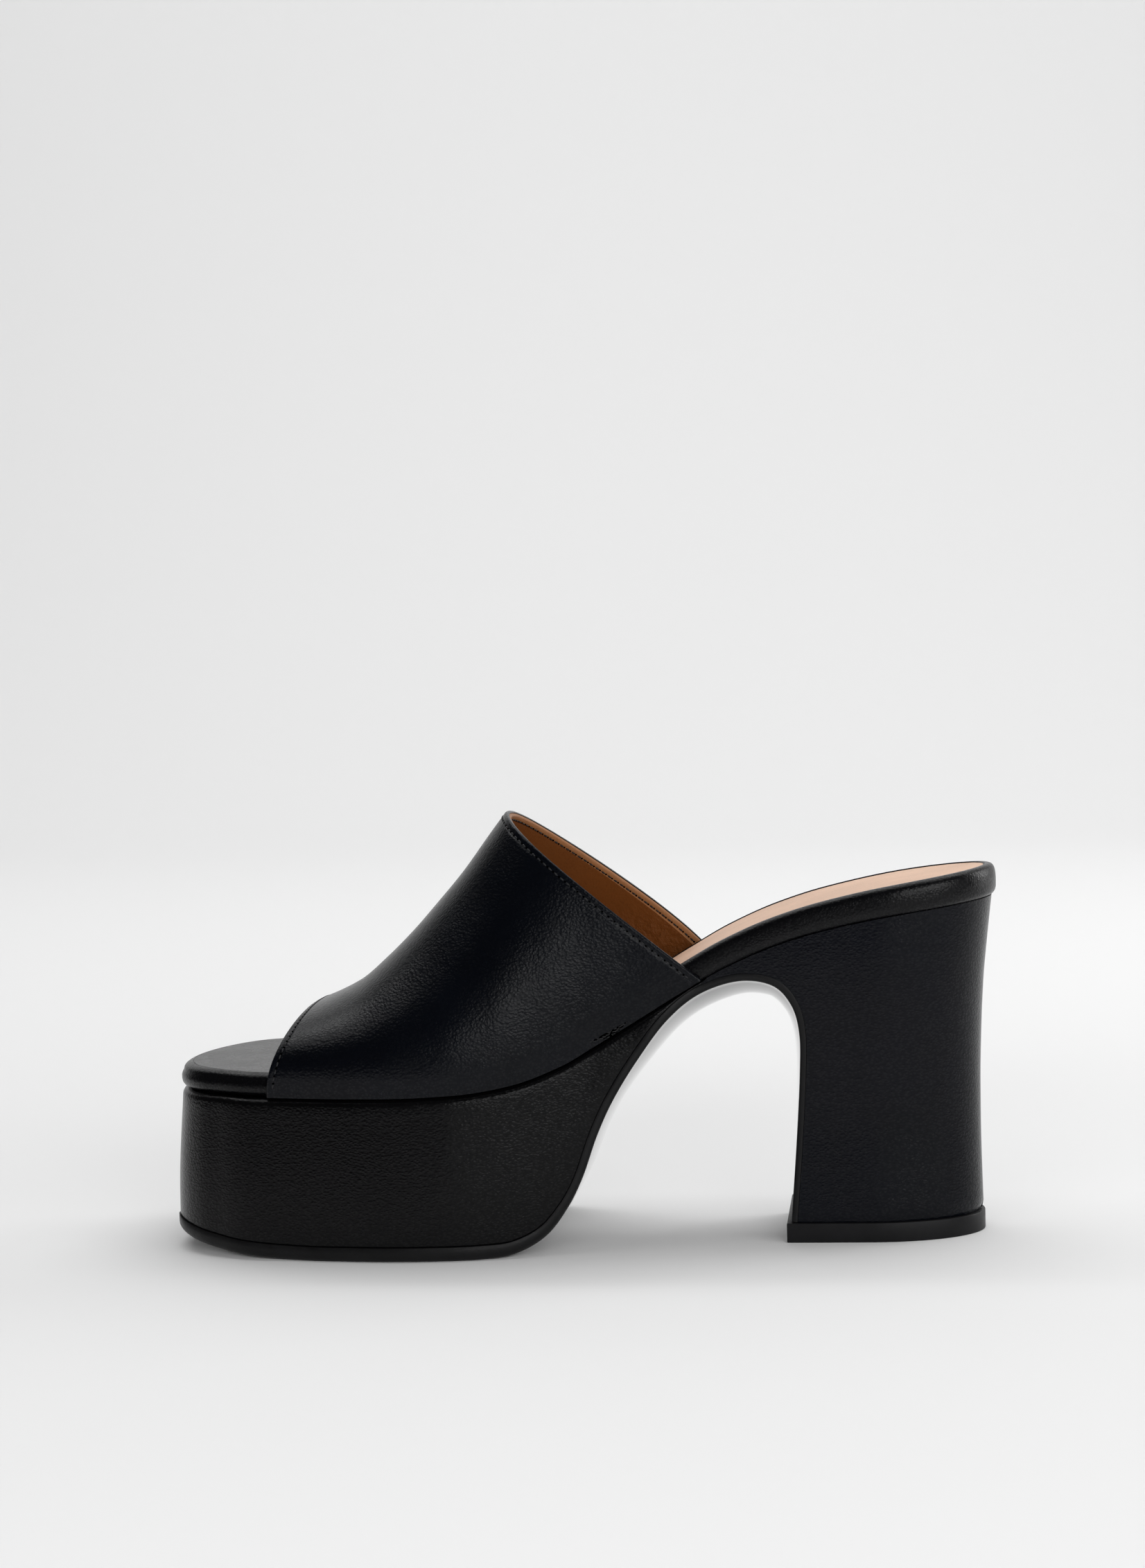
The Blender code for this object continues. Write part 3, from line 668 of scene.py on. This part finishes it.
def outsole():
    """Sheet with a glossy underface and a matte, rounded edge."""
    corner, corner_tuck = 0.1 * MM, 0.08 * MM
    rows = []
    wide = [i / 12 for i in range(-12, 13)]
    stations = sole_stations()
    for station in stations:
        edge = min(EDGE_SHARE * station.thick, EDGE_ROUND)
        sides = {}
        for side in (1.0, -1.0):
            sides[side] = []
            for turn in (15, 30, 45, 60, 75):
                a = math.radians(turn)
                point = sole_point(station, side, edge * (1 - math.cos(a)), edge * (1 - math.sin(a)))
                sides[side].append(point)
            sides[side] += [sole_point(station, side, lift) for lift in (edge, station.thick - corner)]
        row = [sole_point(station, u, 0.0, edge) for u in wide] + sides[1.0]
        row += [sole_point(station, u, station.thick, corner_tuck) for u in reversed(wide)]
        rows.append(row + sides[-1.0][::-1])
    return grid_object("outsole_sheet", rows, closed=True, caps=True,
                       second=lambda i, j: j >= len(wide) - 1 or stations[i].x < TOE_X + TOE_MATTE, sharp=50)


def wall_lean(share):
    """How far the platform's wall has leaned in at a share of its height: it bulges low down."""
    return smooth((share - 0.15) / 0.85) - 0.35 * math.sin(math.pi * share)


def platform():
    """Wrapped block: a wall that bulges low down and leans in to its rounded top edge."""
    rows = []
    wide = [i / 10 for i in range(-10, 11)]
    for station in sole_stations():
        lift = station.thick + SEAM
        base = [sole_point(station, u, lift, station.grow + FOOT_ROUND) for u in wide]
        middle = base[len(base) // 2]
        if middle.x > place_along(HEEL_FRONT) - GAP or station.x < TOE_X - TOE_PROUD + GAP:
            continue
        toe = 1 - smooth((middle.x - TOE_X + TOE_PROUD) / TOE_REACH)
        top = underside(middle.x) - SEAM
        walls = {}
        for side, foot in ((1, base[-1]), (-1, base[0])):
            height = max(top - foot.z, 0.5 * MM)
            low = min(0.7 * MM, 0.2 * height)
            high = min(1.5 * PLATFORM_ROUND, 0.4 * height)
            places = []
            for turn in (30, 60, 90):
                a = math.radians(turn)
                places.append((low * (1 - math.cos(a)), FOOT_ROUND * (1 - math.sin(a))))
            places += [(lerp(low, height - high, i / 16), 0.0) for i in range(1, 17)]
            for turn in (18, 36, 54, 72, 90):
                a = math.radians(turn)
                places.append((height - high * (1 - math.sin(a)), high * (1 - math.cos(a))))
            walls[side] = []
            for up, tuck in places:
                share = up / height
                x = lerp(foot.x, middle.x, share) + TOE_LEAN * toe * share
                lean = SIDE_LEAN * wall_lean(share) * min(height / (20 * MM), 1)
                sides = platform_sides(x - TOE_LEAN * toe * share, -tuck - lean)
                walls[side].append(Vector((x, sides[1] if side == 1 else sides[0], foot.z + up)))
        lid = [walls[-1][-1].lerp(walls[1][-1], (1 + u) / 2) for u in wide]
        rows.append(base + walls[1] + lid[::-1][1:-1] + walls[-1][::-1])
    return grid_object("platform_block", rows, closed=True, caps=True)


def heel():
    """D-shaped block cut by the footbed's underside and the outsole's inner face."""
    front = place_along(HEEL_FRONT) - HEEL_AHEAD
    foot = TOPLIFT + HEEL_SEAM
    rings = []
    for i in range(41):
        z = lerp(foot, SEAT_HEIGHT, i / 40)
        groove = GROOVE_DEPTH * max(0.0, 1 - (z - foot) / GROOVE_HEIGHT) ** 2
        back = heel_back(z) - groove
        places = even_places(front, back - SEAT_REACH, 22) + end_places(back, -SEAT_REACH, 34)[::-1]
        sides = [heel_sides(x + groove * (x > back - SEAT_REACH), z, -groove) for x in places]
        rings.append(level_ring(places, sides, z))
    made = grid_object("heel_block", rings, closed=True, caps=True)
    start, end, top = front - BEYOND, SEAT_X + BEYOND, SEAT_HEIGHT + 3 * BEYOND
    line = [(x, underside(x) - LID_SEAM) for x in even_places(start, end, 90)] + [(end, top), (start, top)]
    slices = [[(x, HEEL_LINE + y, z) for x, z in line] for y in (-SEAT_WIDTH, SEAT_WIDTH)]
    lid = grid_object("heel_lid", slices, closed=True, caps=True)
    stations = [s for s in sole_stations() if s.x > place_along(0.55)]
    slices = []
    for u in [-1.0] + [i / 8 for i in range(-8, 9)] + [1.0]:
        line = [sole_point(s, u, s.thick + SEAM) for s in stations]
        line += [Vector((line[-1].x, line[-1].y, -2 * BEYOND)), Vector((line[0].x, line[0].y, -2 * BEYOND))]
        slices.append(line)
    for outer, side in ((slices[0], -SEAT_WIDTH), (slices[-1], SEAT_WIDTH)):
        for point in outer:
            point.y = HEEL_LINE + side
    breast = grid_object("heel_breast", slices, closed=True, caps=True)
    for cutter in (lid, breast):
        cut = made.modifiers.new(cutter.name, "BOOLEAN")
        cut.object = cutter
        cut.operation = "DIFFERENCE"
        cut.solver = "EXACT"
    return apply_modifiers(made, (lid, breast))


def apply_modifiers(made, spent=(), sharp=32):
    """The object with its modifiers worked into its mesh, and the spent cutters deleted."""
    graph = bpy.context.evaluated_depsgraph_get()
    mesh = bpy.data.meshes.new_from_object(made.evaluated_get(graph))
    made.modifiers.clear()
    old = made.data
    made.data = mesh
    bpy.data.meshes.remove(old)
    for cutter in spent:
        bpy.data.objects.remove(cutter, do_unlink=True)
    mesh.shade_smooth()
    mesh.set_sharp_from_angle(angle=math.radians(sharp))
    return made


def toplift():
    """Rubber plate under the heel, with a small bevel round both faces."""
    back = heel_back(TOPLIFT) + TOPLIFT_PROUD
    front = arch_place(len(ARCH) - 1)[0] - TOPLIFT_NOSE
    rings = []
    bevel = 0.35 * MM
    for z, tuck in ((0.0, bevel), (0.3 * bevel, 0.3 * bevel), (bevel, 0.0), (TOPLIFT - bevel, 0.0),
                    (TOPLIFT - 0.3 * bevel, 0.3 * bevel), (TOPLIFT, bevel)):
        places = even_places(front + tuck, back - SEAT_REACH, 22)
        places += end_places(back - tuck, -(SEAT_REACH - tuck), 40)[::-1]
        sides = [heel_sides(x, TOPLIFT, TOPLIFT_PROUD - tuck) for x in places]
        rings.append(level_ring(places, sides, z))
    return grid_object("toplift_plate", rings, closed=True, caps=True)


# Footbed and insole cover

SOCK_SUNK = 0.25 * MM          # how far the insole cover lies below the rim
SOCK_CLEAR = 0.2 * MM          # between the cover and the rim
SOCK_ROUND = 0.5 * MM          # width of the cover's rounded edge
SOCK_DROP = 0.35 * MM          # and how far it goes down
SOCK_SKIRT = 0.9 * MM          # depth of the cover's sides below its top

# Rim of the wrapped board, from its lower to its upper corner: share of the height, tuck inwards
# at the toe and at the seat in millimetres
RIM = (
    (0.00, 2.2, 1.6),
    (0.05, 1.3, 0.8),
    (0.12, 0.55, 0.3),
    (0.22, 0.15, 0.05),
    (0.34, 0.0, 0.0),
    (0.48, 0.0, 0.0),
    (0.58, 0.2, 0.05),
    (0.66, 0.5, 0.1),
    (0.73, 0.65, 0.2),
    (0.80, 0.75, 0.35),
    (0.87, 1.1, 0.6),
    (0.93, 1.7, 1.0),
    (0.97, 2.3, 1.5),
    (0.99, 2.8, 2.0),
    (1.00, 3.3, 2.6),
)


def bed_spread():
    """Places along the footbed, close together at the toe and the seat."""
    places = end_places(TOE_X, TOE_REACH, 46, 0.0)
    places += even_places(TOE_X + TOE_REACH, SEAT_X - SEAT_REACH, 130)[:-1]
    return places + end_places(SEAT_X, -SEAT_REACH, 46, 0.0)[::-1]


def bed_loop(tuck, height):
    """Loop round the footbed, tucked in: along the medial side to the seat and back."""
    medial, lateral = [], []
    for x in bed_spread():
        inward = tuck(x) if callable(tuck) else tuck
        if x < TOE_X + TOE_REACH:
            x = TOE_X + inward + (x - TOE_X) / TOE_REACH * (TOE_REACH - inward)
        elif x > SEAT_X - SEAT_REACH:
            x = SEAT_X - inward - (SEAT_X - x) / SEAT_REACH * (SEAT_REACH - inward)
        sides = plan(x, -inward)
        medial.append(Vector((x, sides[0], height(x))))
        lateral.append(Vector((x, sides[1], height(x))))
    return medial + lateral[::-1][1:-1]


def footbed():
    """Board as loops round its outline, from the underside over the rim to the bed."""
    start = place_along(SOCK_FRONT)
    loops = [bed_loop(inward * MM, underside) for inward in (12.0, 5.0)]
    for share, toe_tuck, seat_tuck in RIM:
        loops.append(bed_loop(lambda x: lerp(toe_tuck, seat_tuck, smooth((share_along(x) - 0.2) / 0.25)) * MM,
                              lambda x: lerp(underside(x), topside(x), share)))

    def bed(x):
        """The bed sinks behind the insole cover's front edge."""
        return topside(x) - (SOCK_THICKNESS + SOCK_SUNK) * smooth((x - start + 0.4 * MM) / (0.5 * MM))

    loops.append(bed_loop(SOCK_INSET - 0.3 * MM, topside))
    loops.append(bed_loop(SOCK_INSET, lambda x: lerp(topside(x), bed(x), 0.4)))
    for inward in (0.15, 4.0, 12.0):
        loops.append(bed_loop(SOCK_INSET + inward * MM, bed))
    return grid_object("footbed_board", loops, closed=True, caps="rungs", sharp=50)


def sock():
    """Insole cover: thin leather with a rounded edge, a little below the rim."""
    start = place_along(SOCK_FRONT) + GAP
    rows = []
    places = [start, start + 0.15 * MM, start + 0.5 * MM]
    inset = SOCK_INSET + SOCK_CLEAR
    end = SEAT_X - inset
    places += even_places(start + 1.5 * MM, end - SEAT_REACH, 110)
    places += end_places(end, -(SEAT_REACH - inset), 44)[::-1]
    for x in places:
        sides = plan(x, -inset)
        half = (sides[1] - sides[0]) / 2
        mid = (sides[1] + sides[0]) / 2
        top = topside(x) - SOCK_SUNK
        front = max(0.0, 1 - (x - start) / SOCK_ROUND) ** 2
        row = [(x, sides[0], top - SOCK_SKIRT)]
        for i in range(-24, 25):
            u = i / 24
            side = max(0.0, 1 - (1 - abs(u)) * half / SOCK_ROUND) ** 2
            row.append((x, mid + u * half, top - SOCK_DROP * max(side, front)))
        row.append((x, sides[1], top - SOCK_SKIRT))
        rows.append(row)
    return grid_object("sock_cover", rows, closed=True, caps=True)


# Upper

OUTER_THICK = 1.3 * MM
LINING_THICK = 0.9 * MM
STITCH_IN = 1.95 * MM          # stitch rows from the band's edges
STITCH_PITCH = 2.25 * MM
STITCH_RADIUS = 0.27 * MM
STITCH_SHARE = 0.33            # of the pitch, that a thread reaches each way from its middle
STITCH_DIP = 0.20 * MM         # how deep the stitch rows draw the leather in
EDGE_DROP = 0.35 * MM          # how far the leather rounds off at its edges
FOOT_TUCK = 1.1 * MM           # how far the band's foot draws in
LINING_SHORT = 0.15 * MM       # the lining ends this far inside the leather's edge
FOLD_LIFT = 0.20 * MM          # how far the lining's folded edge stands up


def spread_places(count, edge, fine):
    """Places from 0 to 1, closer together near both ends."""
    places = [edge * i / fine for i in range(fine)]
    places += [edge + (1 - 2 * edge) * i / count for i in range(count)]
    return places + [1 - edge + edge * i / fine for i in range(fine + 1)]


def run_along(line):
    """How far each point of a line is from its start, along it."""
    run = [0.0]
    for a, b in zip(line, line[1:]):
        run.append(run[-1] + (b - a).length)
    return run


def vamp_shape(back, turn):
    """The outer face, its foot drawn in a little where it meets the platform."""
    point = vamp_point(back, turn)
    past = min(max(-turn, turn - 1, 0.0), 1.0)
    inward = 1 if turn < 0.5 else -1
    point.y += inward * FOOT_TUCK * past ** 1.5
    return point


def grid_normals(rows):
    """Outward normals of a grid of points."""
    normals = []
    for i, row in enumerate(rows):
        line = []
        for j in range(len(row)):
            a = rows[max(i - 1, 0)][j]
            b = rows[min(i + 1, len(rows) - 1)][j]
            c = row[max(j - 1, 0)]
            d = row[min(j + 1, len(row) - 1)]
            n = (d - c).cross(b - a)
            line.append(n.normalized() if n.length > 0 else Vector((0, 0, 1)))
        normals.append(line)
    if normals[len(normals) // 2][len(rows[0]) // 2].z < 0:
        normals = [[-n for n in line] for line in normals]
    return normals


def upper_pieces():
    """Leather and lining of the band, with the grid that the stitches follow: its points and
    normals, how far each point is from the toe edge, and its turns."""
    turn_count = 200
    foot = 12
    turns = [-1 + i / foot for i in range(foot)] + [i / turn_count for i in range(turn_count + 1)]
    turns += [1 + (i + 1) / foot for i in range(foot)]
    backs = spread_places(110, 0.06, 26)
    rows = [[vamp_shape(back, turn) for turn in turns] for back in backs]
    normals = grid_normals(rows)
    away = [run_along([row[j] for row in rows]) for j in range(len(turns))]

    def sunk(i, j):
        """How far the leather is drawn in: at the stitch rows and at the folded edges."""
        front = away[j][i]
        rear = away[j][-1] - front
        total = 0.0
        for distance in (front, rear):
            total += STITCH_DIP * math.exp(-((distance - STITCH_IN) / (0.5 * MM)) ** 2)
            total += EDGE_DROP * max(0.0, 1 - distance / (0.6 * MM)) ** 2
        return total

    outer = [[rows[i][j] - normals[i][j] * sunk(i, j) for j in range(len(turns))] for i in range(len(rows))]
    inner = [[rows[i][j] - normals[i][j] * OUTER_THICK for j in range(len(turns))] for i in range(len(rows))]
    shell = [inner[0]] + outer + [inner[-1]] + inner[::-1][1:-1]
    leather = closed_band("upper_band", shell)

    lining = upper_lining(rows, normals, away)
    return leather, lining, rows, normals, away, turns


def upper_lining(rows, normals, away):
    """Lining inside the leather, a little short of its edges, raised where it is folded over."""
    middle = away[len(away) // 2]
    nearest = [min(front, middle[-1] - front) for front in middle]
    kept = [i for i in range(len(rows)) if nearest[i] >= LINING_SHORT]
    inside, backing = [], []
    for i in kept:
        line = []
        for j in range(len(rows[0])):
            lift = 0.0
            for distance in (away[j][i], away[j][-1] - away[j][i]):
                lift += FOLD_LIFT * (1 - smooth((distance - STITCH_IN) / (0.5 * MM)))
                lift -= 0.22 * MM * math.exp(-((distance - STITCH_IN) / (0.4 * MM)) ** 2)
                lift -= 0.45 * MM * max(0.0, 1 - (distance - LINING_SHORT) / (0.5 * MM)) ** 2
            line.append(rows[i][j] - normals[i][j] * (OUTER_THICK + LINING_THICK + lift))
        inside.append(line)
        backing.append([rows[i][j] - normals[i][j] * (OUTER_THICK + 0.03 * MM) for j in range(len(rows[0]))])
    shell = [backing[0]] + inside + [backing[-1]] + backing[::-1][1:-1]
    # Folded faces take the lighter tan: partly the fold's own colour, partly a painted highlight where the
    # fold stands raised
    folded = [True] + [nearest[i] < STITCH_IN + 0.15 * MM for i in kept] + [True] * len(shell)
    return closed_band("upper_lining", shell, second=lambda i, j: folded[j])


def closed_band(name, shell, second=None):
    """Tube through loops that run round the wall's section, from one foot to the other."""
    columns = [list(column) for column in zip(*shell)]
    return grid_object(name, columns, closed=True, caps=True, second=second, sharp=60)


def stitch_mesh(name, strands):
    """Short rounded threads, each from a point to another with an outward direction, and at their ends
    the needle holes as matte black blobs: painted shade of the holes."""
    points, faces, slots = [], [], []
    around, along = 8, 6

    def tube(start, axis, length, out, radii, sinks, slot):
        side = axis.cross(out).normalized()
        up = side.cross(axis).normalized()
        base = len(points)
        last = len(radii) - 1
        for i, (wide, sink) in enumerate(zip(radii, sinks)):
            centre = start + axis * (length * i / last) - out * sink
            for k in range(around):
                a = 2 * math.pi * k / around
                points.append(tuple(centre + (side * math.cos(a) + up * math.sin(a)) * wide))
        for i in range(last):
            for k in range(around):
                m = (k + 1) % around
                a, b = base + i * around, base + (i + 1) * around
                faces.append((a + k, a + m, b + m, b + k))
        faces.append(tuple(base + k for k in range(around))[::-1])
        faces.append(tuple(base + last * around + k for k in range(around)))
        slots.extend([slot] * (last * around + 2))

    for start, end, out in strands:
        axis = end - start
        length = axis.length
        axis = axis / length
        bulges = [math.sin(math.pi * min(max(i / along, 0.04), 0.96)) ** 0.5 for i in range(along + 1)]
        tube(start, axis, length, out, [STITCH_RADIUS * max(b, 0.25) for b in bulges],
             [0.2 * MM * (1 - b) for b in bulges], 0)
        # Needle hole: a small blob in the hole material, painted shade where the thread goes in
        hole = 0.6 * MM
        tube(end - axis * 0.05 * MM, axis, hole, out, [0.08 * MM, 0.26 * MM, 0.3 * MM, 0.26 * MM, 0.08 * MM],
             [0.02 * MM] * 5, 1)
    mesh = bpy.data.meshes.new(name)
    mesh.from_pydata(points, [], faces)
    mesh.polygons.foreach_set("material_index", slots)
    mesh.shade_smooth()
    return add_object(name, mesh)


def stitches(rows, normals, away, turns):
    """Stitch rows beside the toe edge and the collar, outside and on the lining."""
    strands = []
    for from_front in (True, False):
        for depth, out_sign in ((-0.05 * MM, 1), (OUTER_THICK + LINING_THICK + 0.05 * MM, -1)):
            line, outs = [], []
            for j in range(len(turns)):
                distances = away[j] if from_front else [away[j][-1] - d for d in away[j]]
                order = range(len(rows)) if from_front else range(len(rows) - 1, -1, -1)
                previous = None
                for i in order:
                    if distances[i] >= STITCH_IN:
                        t = (STITCH_IN - distances[previous]) / (distances[i] - distances[previous])
                        point = rows[previous][j].lerp(rows[i][j], t)
                        normal = normals[previous][j].lerp(normals[i][j], t).normalized()
                        break
                    previous = i
                line.append(point - normal * (depth + (STITCH_DIP if out_sign == 1 else 0.0)))
                outs.append(normal * out_sign)
            strands += cut_thread(line, outs)
    return stitch_mesh("stitches", strands)


def cut_thread(line, outs):
    """Short threads at an even pitch along a line, each as its ends and outward direction."""
    run = run_along(line)
    total = run[-1]
    count = int(total / STITCH_PITCH)
    pitch = total / count

    def at(distance):
        k = min(bisect.bisect_right(run, distance), len(run) - 1)
        t = (distance - run[k - 1]) / max(run[k] - run[k - 1], 1e-9)
        return line[k - 1].lerp(line[k], t), outs[k - 1].lerp(outs[k], t).normalized()

    strands = []
    bare_end = 2 * MM
    for i in range(count):
        middle = (i + 0.5) * pitch
        if middle < bare_end or middle > total - bare_end:
            continue
        a = at(middle - STITCH_SHARE * pitch)[0]
        b = at(middle + STITCH_SHARE * pitch)[0]
        out = at(middle)[1]
        strands.append((a, b, out))
    return strands


dress(outsole(), "outsole", "sole_gloss", SOLE_GLOSS, SOLE_EDGE)
dress(platform(), "platform", "platform_leather", PLATFORM_LEATHER)
dress(heel(), "heel", "heel_leather", HEEL_LEATHER)
dress(toplift(), "toplift", "toplift_rubber", TOPLIFT_RUBBER)
dress(footbed(), "footbed", "footbed_leather", RIM_LEATHER)
dress(sock(), "sock", "sock_leather", SOCK_LEATHER)
leather, lining, vamp_rows, vamp_normals, vamp_away, vamp_turns = upper_pieces()
dress(leather, "upper", "upper_leather", UPPER_LEATHER)
dress(lining, None, "upper_leather", LINING_LEATHER, FOLD_TAN_AND_HIGHLIGHT)
dress(stitches(vamp_rows, vamp_normals, vamp_away, vamp_turns), None, "upper_leather", THREAD, NEEDLE_HOLE_SHADE)


# Stage, light and camera

def backdrop():
    """Floor that curves up into a wall far behind, painted darker near the camera as painted shade: it
    stands in for the unlit studio there, which the leather mirrors; that part lies outside the picture."""
    near, bend, radius, top = -3.0, 1.6, 1.2, 5.0
    profile = [(near, 0.0), (bend, 0.0)]
    for degrees in range(6, 91, 6):
        a = math.radians(degrees)
        profile.append((bend + radius * math.sin(a), radius * (1 - math.cos(a))))
    profile.append((bend + radius, top))
    rows = [[(x, y, z) for y, z in profile] for x in (-5.0, 5.0)]
    made = grid_object("backdrop", rows)
    surface, shader, add, join = node_maker("backdrop")
    where = add("ShaderNodeTexCoord")
    apart = add("ShaderNodeSeparateXYZ", (("Vector", where.outputs["Object"]),))
    # Painted shade: the floor's colour darkens from pale at pale_from to dark at dark_until, towards the
    # camera
    dark_until, pale_from = -0.85, -0.37
    farness = spread(add, apart.outputs["Y"], dark_until, pale_from, 0.0, 1.0)
    farness.interpolation_type = "SMOOTHSTEP"
    pale = ramp(add, farness.outputs["Result"], (0.0, 0.24), (1.0, 0.80))
    join(pale.outputs["Color"], shader.inputs["Base Color"])
    shader.inputs["Roughness"].default_value = 0.9
    shader.inputs["Specular IOR Level"].default_value = 0.1
    made.data.materials.append(surface)


def softbox(name, place, target, size, power):
    """White rectangular light at a place, turned to its target."""
    data = bpy.data.lights.new(name, "AREA")
    data.shape = "RECTANGLE"
    data.size, data.size_y = size
    data.energy = power
    made = add_object(name, data)
    made.location = place
    made.rotation_euler = (Vector(target) - Vector(place)).to_track_quat("-Z", "Y").to_euler()
    return made


backdrop()
softbox("overhead", (0.0, 0.32, 1.60), (0, 0.16, 0.0), (2.3, 1.5), 18)
softbox("front right", (1.10, -1.30, 0.55), (0.03, 0, 0.05), (1.8, 0.6), 12.5)
softbox("front fill", (-0.10, -1.35, 0.45), (0, 0, 0.03), (1.6, 0.3), 11).visible_glossy = False
softbox("right", (1.5, 0.7, 0.6), (0, 0, 0.06), (0.7, 1.0), 9)
softbox("wall", (0.0, 1.3, 2.6), (0, 3.0, 1.1), (5.0, 1.2), 63)

world = bpy.data.worlds.new("studio")
bpy.context.scene.world = world
world.use_nodes = True
sky = world.node_tree.nodes["Background"].inputs
sky["Color"].default_value = (1, 1, 1, 1)
sky["Strength"].default_value = 0.05

# Camera: turned towards the heel's side, a little above the shoe, looking slightly down
TURN = math.radians(6.0)
PITCH = math.radians(2.9)
ROLL = math.radians(-1.5)
DISTANCE = 923 * MM
EYE_HEIGHT = 180 * MM
AIM = Vector((-2.15 * MM, 2.42 * MM, 0.0))

ahead = Vector((-math.sin(TURN), math.cos(TURN), 0.0))
sideways = Vector((math.cos(TURN), math.sin(TURN), 0.0))
eye = AIM - ahead * DISTANCE + Vector((0, 0, EYE_HEIGHT))
look = ahead * math.cos(PITCH) - Vector((0, 0, math.sin(PITCH)))
level_up = sideways.cross(look)
right = sideways * math.cos(ROLL) + level_up * math.sin(ROLL)
up = level_up * math.cos(ROLL) - sideways * math.sin(ROLL)
camera_data = bpy.data.cameras.new("camera")
camera_data.lens = 71.44
camera_data.sensor_width = 36
camera = add_object("camera", camera_data)
camera.matrix_world = Matrix([(right[i], up[i], -look[i], eye[i]) for i in range(3)] + [(0, 0, 0, 1)])
bpy.context.scene.camera = camera
bpy.context.scene.view_settings.view_transform = "Standard"
